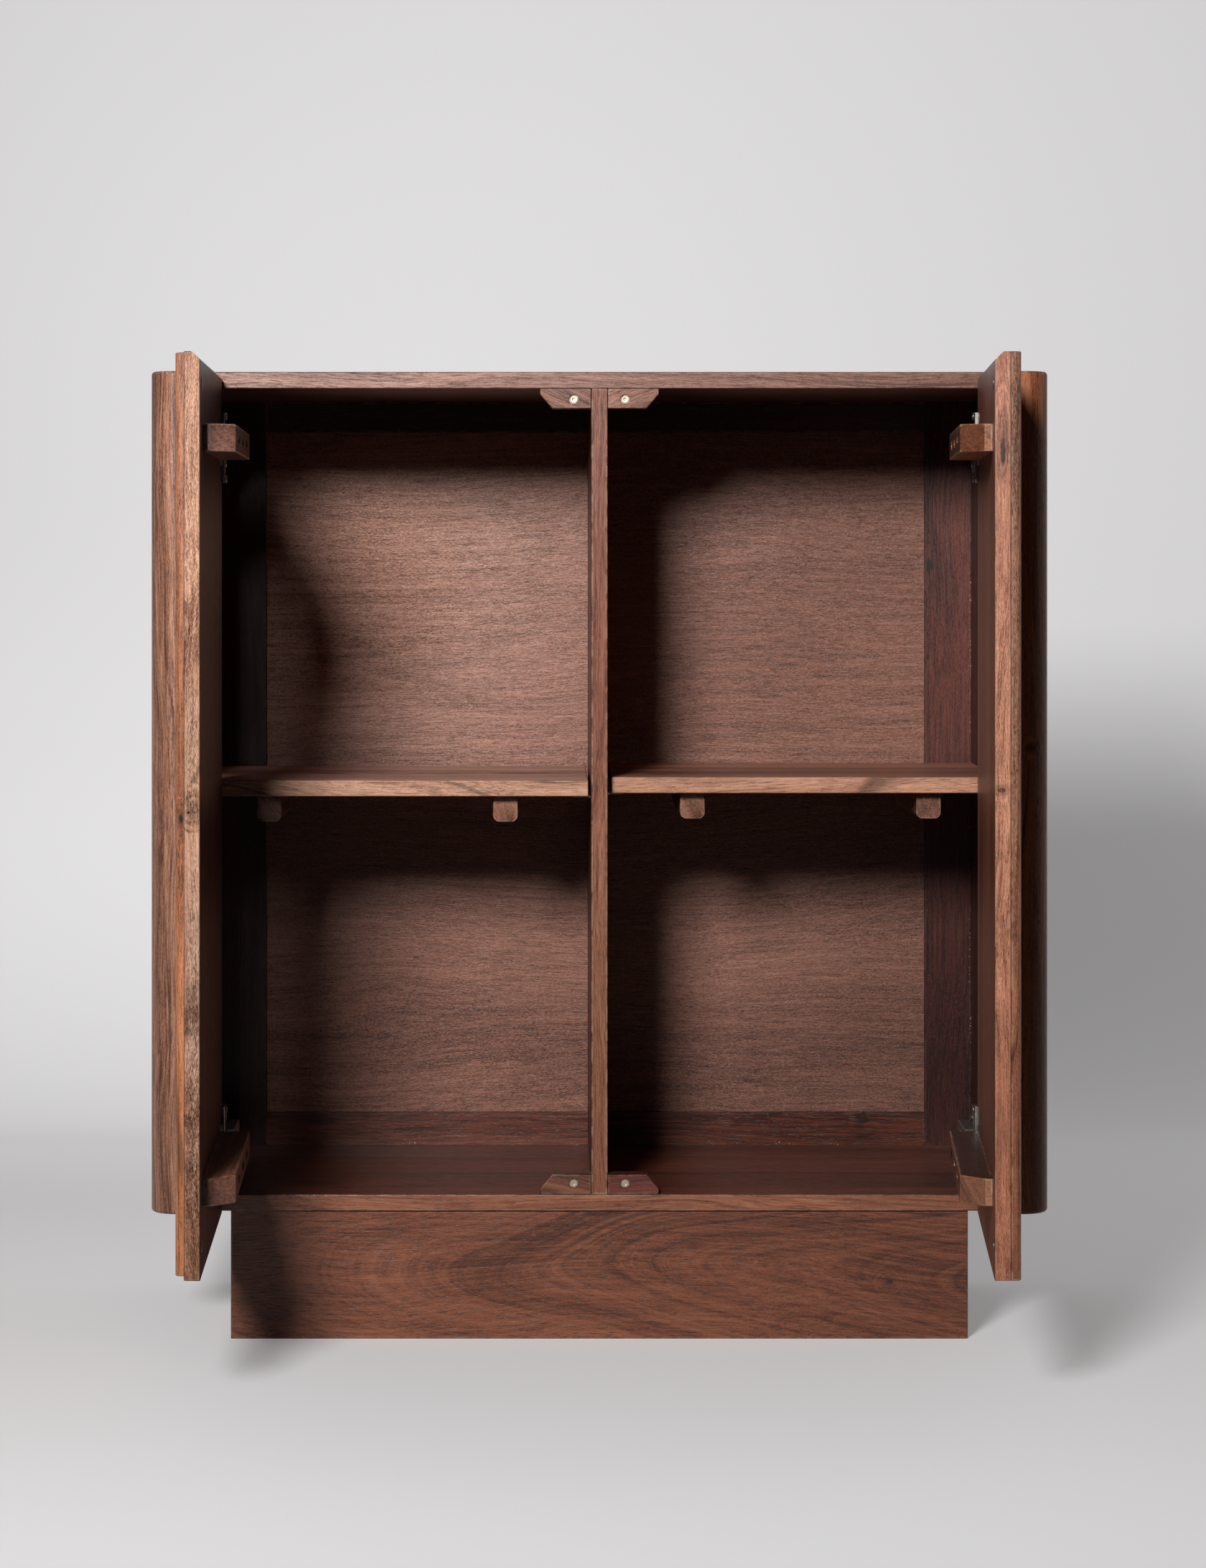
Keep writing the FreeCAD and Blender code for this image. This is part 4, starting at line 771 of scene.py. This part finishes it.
# screws: a domed head with a cross recess, and a threaded shank
cupScrew = {"head": 0.0042, "dome": 0.0014, "cross": 0.0024, "shank": 0.0019, "pitch": 0.0013}
battenScrew = {"head": 0.0040, "dome": 0.0010, "cross": 0.0023, "shank": 0.0019, "pitch": 0.0014}
screwShapes = {
    "hinge_plate_screws": {"head": 0.0040, "dome": 0.0009, "cross": 0.0023, "shank": 0.0019, "pitch": 0.0013},
    "hinge_arm_screws": {"head": 0.0042, "dome": 0.0012, "cross": 0.0024, "shank": 0.0023, "pitch": 0.0010},
    "left_cup_screws": cupScrew,
    "right_cup_screws": cupScrew,
    "left_batten_screws": battenScrew,
    "right_batten_screws": battenScrew,
    "plinth_screws": {"head": 0.0045, "dome": 0.0010, "cross": 0.0025, "shank": 0.0022, "pitch": 0.0016},
}
# what all the screws share: depths in metres, and shares of the head, the shank or the recess's reach
screwForm = {"rim": 0.0004, "recess": 0.0012, "recessArm": 0.2, "neck": 0.9, "threadRoot": 0.72, "tip": 0.6,
             "dome": ((0.45, 0.18), (0.8, 0.6))}     # share of the head's radius, share of the dome's height


def spunProfile(mesh, profile, steps=24):
    # turns a line of (radius, height) points round the z axis
    verts = [mesh.verts.new((radius, 0.0, height)) for radius, height in profile]
    edges = [mesh.edges.new(pair) for pair in zip(verts, verts[1:])]
    bmesh.ops.spin(mesh, geom=verts + edges, cent=(0, 0, 0), axis=(0, 0, 1), angle=math.tau, steps=steps,
                   use_merge=True)
    bmesh.ops.remove_doubles(mesh, verts=mesh.verts, dist=1e-7)
    bmesh.ops.recalc_face_normals(mesh, faces=mesh.faces)


def crossRecess(mesh, reach, arm, top, depth):
    # a plus-shaped prism, which is cut out of the head
    outline = []
    for turn in range(4):
        quarter = Matrix.Rotation(turn * math.pi / 2, 3, "Z")
        outline += [quarter @ Vector(corner) for corner in ((arm, arm, 0), (arm, reach, 0), (-arm, reach, 0))]
    plus = mesh.faces.new([mesh.verts.new(corner + Vector((0, 0, top - depth))) for corner in outline])
    pushUp(mesh, plus, depth + 0.001)
    bmesh.ops.recalc_face_normals(mesh, faces=mesh.faces)


def screwProfile(shape, top, foot):
    head, dome, shank, pitch = shape["head"], shape["dome"], shape["shank"], shape["pitch"]
    profile = [(0.0, top)]
    profile += [(head * out, top - dome * drop) for out, drop in screwForm["dome"]]
    under = top - dome - screwForm["rim"]
    profile += [(head, top - dome), (head, under), (shank, under - (head - shank) * screwForm["neck"])]
    height = profile[-1][1] - pitch
    while height > foot + pitch * 2.5:
        profile += [(shank, height), (shank * screwForm["threadRoot"], height - pitch * 0.5)]
        height -= pitch
    return profile + [(shank * screwForm["tip"], foot + pitch * 2), (0.0, foot)]


def gather(whole, part):
    data = meshData(part, "gathered")
    whole.from_mesh(data)
    bpy.data.meshes.remove(data)


def makeScrews(nodeName, shape):
    whole = bmesh.new()
    for points, middle, line in loosePieces(nodeName):
        offLine = {tuple(point): (point - middle) - line * (point - middle).dot(line) for point in points}
        widest = max(points, key=lambda point: offLine[tuple(point)].length)
        if (widest - middle).dot(line) < 0:
            line = -line
        along = [(point - middle).dot(line) for point in points]
        top, foot = max(along), min(along)
        origin = middle + sum((offLine[tuple(point)] for point in points), Vector()) / len(points)
        single = bmesh.new()
        spunProfile(single, screwProfile(shape, top, foot))
        recess = bmesh.new()
        crossRecess(recess, shape["cross"], shape["cross"] * screwForm["recessArm"], top, screwForm["recess"])
        for part in (single, recess):
            bmesh.ops.transform(part, matrix=alongLine(origin, line), verts=part.verts)
        gather(whole, cutAway(single, recess))
    asPiece(camelCase(nodeName, "Cross"), whole, nodes[nodeName].data.materials[0], nodeName)


for nodeName, shape in screwShapes.items():
    makeScrews(nodeName, shape)
print("stage: screws made")

# catch magnets: a thin steel cup round a slightly sunk pale disc, which has a dimple in its middle
magnetShape = {"cup": 0.0050, "rim": 0.0044, "disc": 0.0041, "sunk": 0.0003, "steps": 40,
               # out from the middle: share of the disc's radius, depth as a multiple of sunk
               "dimple": ((0.0, 3.4), (0.30, 3.2), (0.36, 0.5), (0.44, 0.0), (0.92, 0.0)),
               "gap": 7, "cupEdge": 3.6, "cupSide": 4.2}     # depths, as multiples of sunk


def magnetProfile(top, foot):
    cup, rim, disc, sunk = (magnetShape[key] for key in ("cup", "rim", "disc", "sunk"))
    gap, cupEdge, cupSide = (top - sunk * magnetShape[key] for key in ("gap", "cupEdge", "cupSide"))
    profile = [(disc * out, top - sunk * deep) for out, deep in magnetShape["dimple"]]
    return profile + [(disc, top - sunk), (disc + 0.00012, gap), (rim, gap), (rim + 0.0001, cupEdge),
                      (cup - 0.0001, cupEdge), (cup, cupSide), (cup, foot + 0.0003), (cup - 0.0003, foot), (0.0, foot)]


whole = bmesh.new()
for points, middle, line in loosePieces("catch_magnets"):
    if line.y > 0:
        line = -line
    along = [(point - middle).dot(line) for point in points]
    single = bmesh.new()
    spunProfile(single, magnetProfile(max(along), min(along)), magnetShape["steps"])
    bmesh.ops.transform(single, matrix=alongLine(middle, line), verts=single.verts)
    gather(whole, single)
asPiece("catchMagnets", whole, nodes["catch_magnets"].data.materials[0], "catch_magnets")
print("stage: magnets made")

# studio: floor that sweeps up into a wall, one soft key light and a dim surround
studio = {"wall": 1.95, "sweep": 0.55, "front": -9.0, "side": 9.0, "height": 7.0,
          "pale": (0.90, 0.89, 0.895, 1), "glowColour": (1.0, 0.985, 0.99, 1), "bounce": 0.08,
          "wallGlow": 0.24, "wallSlope": 0.05, "floorGlow": 0.18, "frontGlow": 0.11, "curveGlow": 0.10,
          "wallLight": 0.35,
          # from where to where a glow fades in or out, in metres
          "mirroredY": (-1.7, -1.0), "wallZ": (0.0, 0.7), "frontY": (-1.3, 0.2), "slopeX": 1.6,
          "curveX": (-0.7, 0.5), "curveY": (0.7, 1.5), "curveZ": (0.25, 1.0)}
sweepMesh = bmesh.new()
rows = ((studio["front"], 0), (studio["wall"], 0), (studio["wall"], studio["height"]))
lines = [[sweepMesh.verts.new((end, *row)) for row in rows] for end in (-studio["side"], studio["side"])]
for first in range(2):
    sweepMesh.faces.new((lines[0][first], lines[1][first], lines[1][first + 1], lines[0][first + 1]))
corner = [edge for edge in sweepMesh.edges if set(edge.verts) == {lines[0][1], lines[1][1]}]
bmesh.ops.bevel(sweepMesh, geom=corner, offset=studio["sweep"], affect="EDGES", segments=24, profile=0.5,
                material=-1)
sweep = inScene("studioSweep", meshData(sweepMesh, "studioSweep"))


def seenRays(g, mirroredIn):
    # 1 for rays from the camera, and for mirrored ones inside a zone
    path = g.add("LightPath").node.outputs
    mirrored = g.math("MAXIMUM", path["Is Glossy Ray"], path["Is Transmission Ray"])
    return g.math("MAXIMUM", path["Is Camera Ray"], g.times(mirrored, mirroredIn))


g = Graph(bpy.data.materials.new("paleSweep"))
sweepX, sweepY, sweepZ = g.split(g.add("TexCoord", out="Object"))
seen = seenRays(g, g.between(sweepY, *studio["mirroredY"]))
paint = g.add("BsdfDiffuse", {"Color": g.mix(seen, (studio["bounce"],) * 3 + (1,), studio["pale"])})
# the sweep glows for the camera; where the glow is stronger, on the wall, to the right, towards the front and at the
# curve on the left, it is painted light that evens out the key's falloff; for other rays the wall glows and lights the
# back of the cabinet
onWall = g.between(sweepZ, *studio["wallZ"])
glowLevel = g.timesPlus(onWall, studio["wallGlow"] - studio["floorGlow"], studio["floorGlow"])
acrossWall = g.between(sweepX, -studio["slopeX"], studio["slopeX"], -studio["slopeX"], studio["slopeX"], smooth=False)
glowLevel = g.timesPlus(acrossWall, studio["wallSlope"], glowLevel)
glowLevel = g.timesPlus(g.fade(sweepY, *studio["frontY"]), studio["frontGlow"], glowLevel)
onCurve = g.times(g.between(sweepY, *studio["curveY"]), g.fade(sweepZ, *studio["curveZ"]),
                  g.fade(sweepX, *studio["curveX"]))
glowLevel = g.times(seen, g.timesPlus(onCurve, studio["curveGlow"], glowLevel))
wallLight = g.times(g.minus(1.0, seen), g.times(onWall, studio["wallLight"]))
glow = g.add("Emission", {"Color": studio["glowColour"], "Strength": g.math("ADD", glowLevel, wallLight)})
both = g.add("AddShader", {0: paint, 1: glow})
behind = g.add("NewGeometry", out="Backfacing")
clear = g.add("BsdfTransparent")
sweep.data.materials.append(g.finish(g.add("MixShader", {0: behind, 1: both, 2: clear})))

# the surround lights the sides and the back, and hardly the front
surround = {"side": 0.40, "front": 0.003, "pale": 0.72, "backFrom": (-0.28, 0.12), "lowTo": (0.15, 0.45)}
world = bpy.data.worlds.new("studioWorld")
bpy.context.scene.world = world
g = Graph(world)
_, dirY, dirZ = g.split(g.add("TexCoord", out="Generated"))
toBack = g.between(dirY, *surround["backFrom"])
lowDown = g.fade(dirZ, *surround["lowTo"])
fill = g.timesPlus(g.times(toBack, lowDown), surround["side"], surround["front"])
pale = seenRays(g, toBack)
level = g.math("ADD", g.times(pale, surround["pale"]), g.times(g.minus(1.0, pale), fill))
g.finish(g.add("Background", {"Color": studio["glowColour"], "Strength": level}), "OutputWorld")

keyLight = {"place": (-1.10, -4.40, 2.31), "aim": (-0.60, -0.20, 1.35), "size": 0.93, "power": 44.0, "spread": 80.0}
lampData = bpy.data.lights.new("softKey", "AREA")
lampData.shape = "DISK"
lampData.size = keyLight["size"]
lampData.energy = keyLight["power"]
lampData.spread = math.radians(keyLight["spread"])
lamp = inScene("softKey", lampData)
lamp.location = keyLight["place"]
lamp.rotation_euler = (Vector(keyLight["aim"]) - lamp.location).to_track_quat("-Z", "Y").to_euler()

# camera, level, where the photographer stood; the picture is 1680 by 2184
view = {"place": (-0.0587, -4.7455, 0.846), "lens": 95.9, "sensor": 36.0, "shiftX": 0.0366, "shiftY": -0.1406,
        "farthest": 60.0}
cameraData = bpy.data.cameras.new("photoCamera")
cameraData.sensor_width = view["sensor"]
cameraData.lens = view["lens"]
cameraData.shift_x = view["shiftX"]
cameraData.shift_y = view["shiftY"]
cameraData.clip_end = view["farthest"]
camera = inScene("photoCamera", cameraData)
camera.location = view["place"]
camera.rotation_euler = (math.radians(90), 0, 0)
bpy.context.scene.camera = camera
bpy.context.scene.view_settings.view_transform = "Standard"
print("stage: studio and camera set")
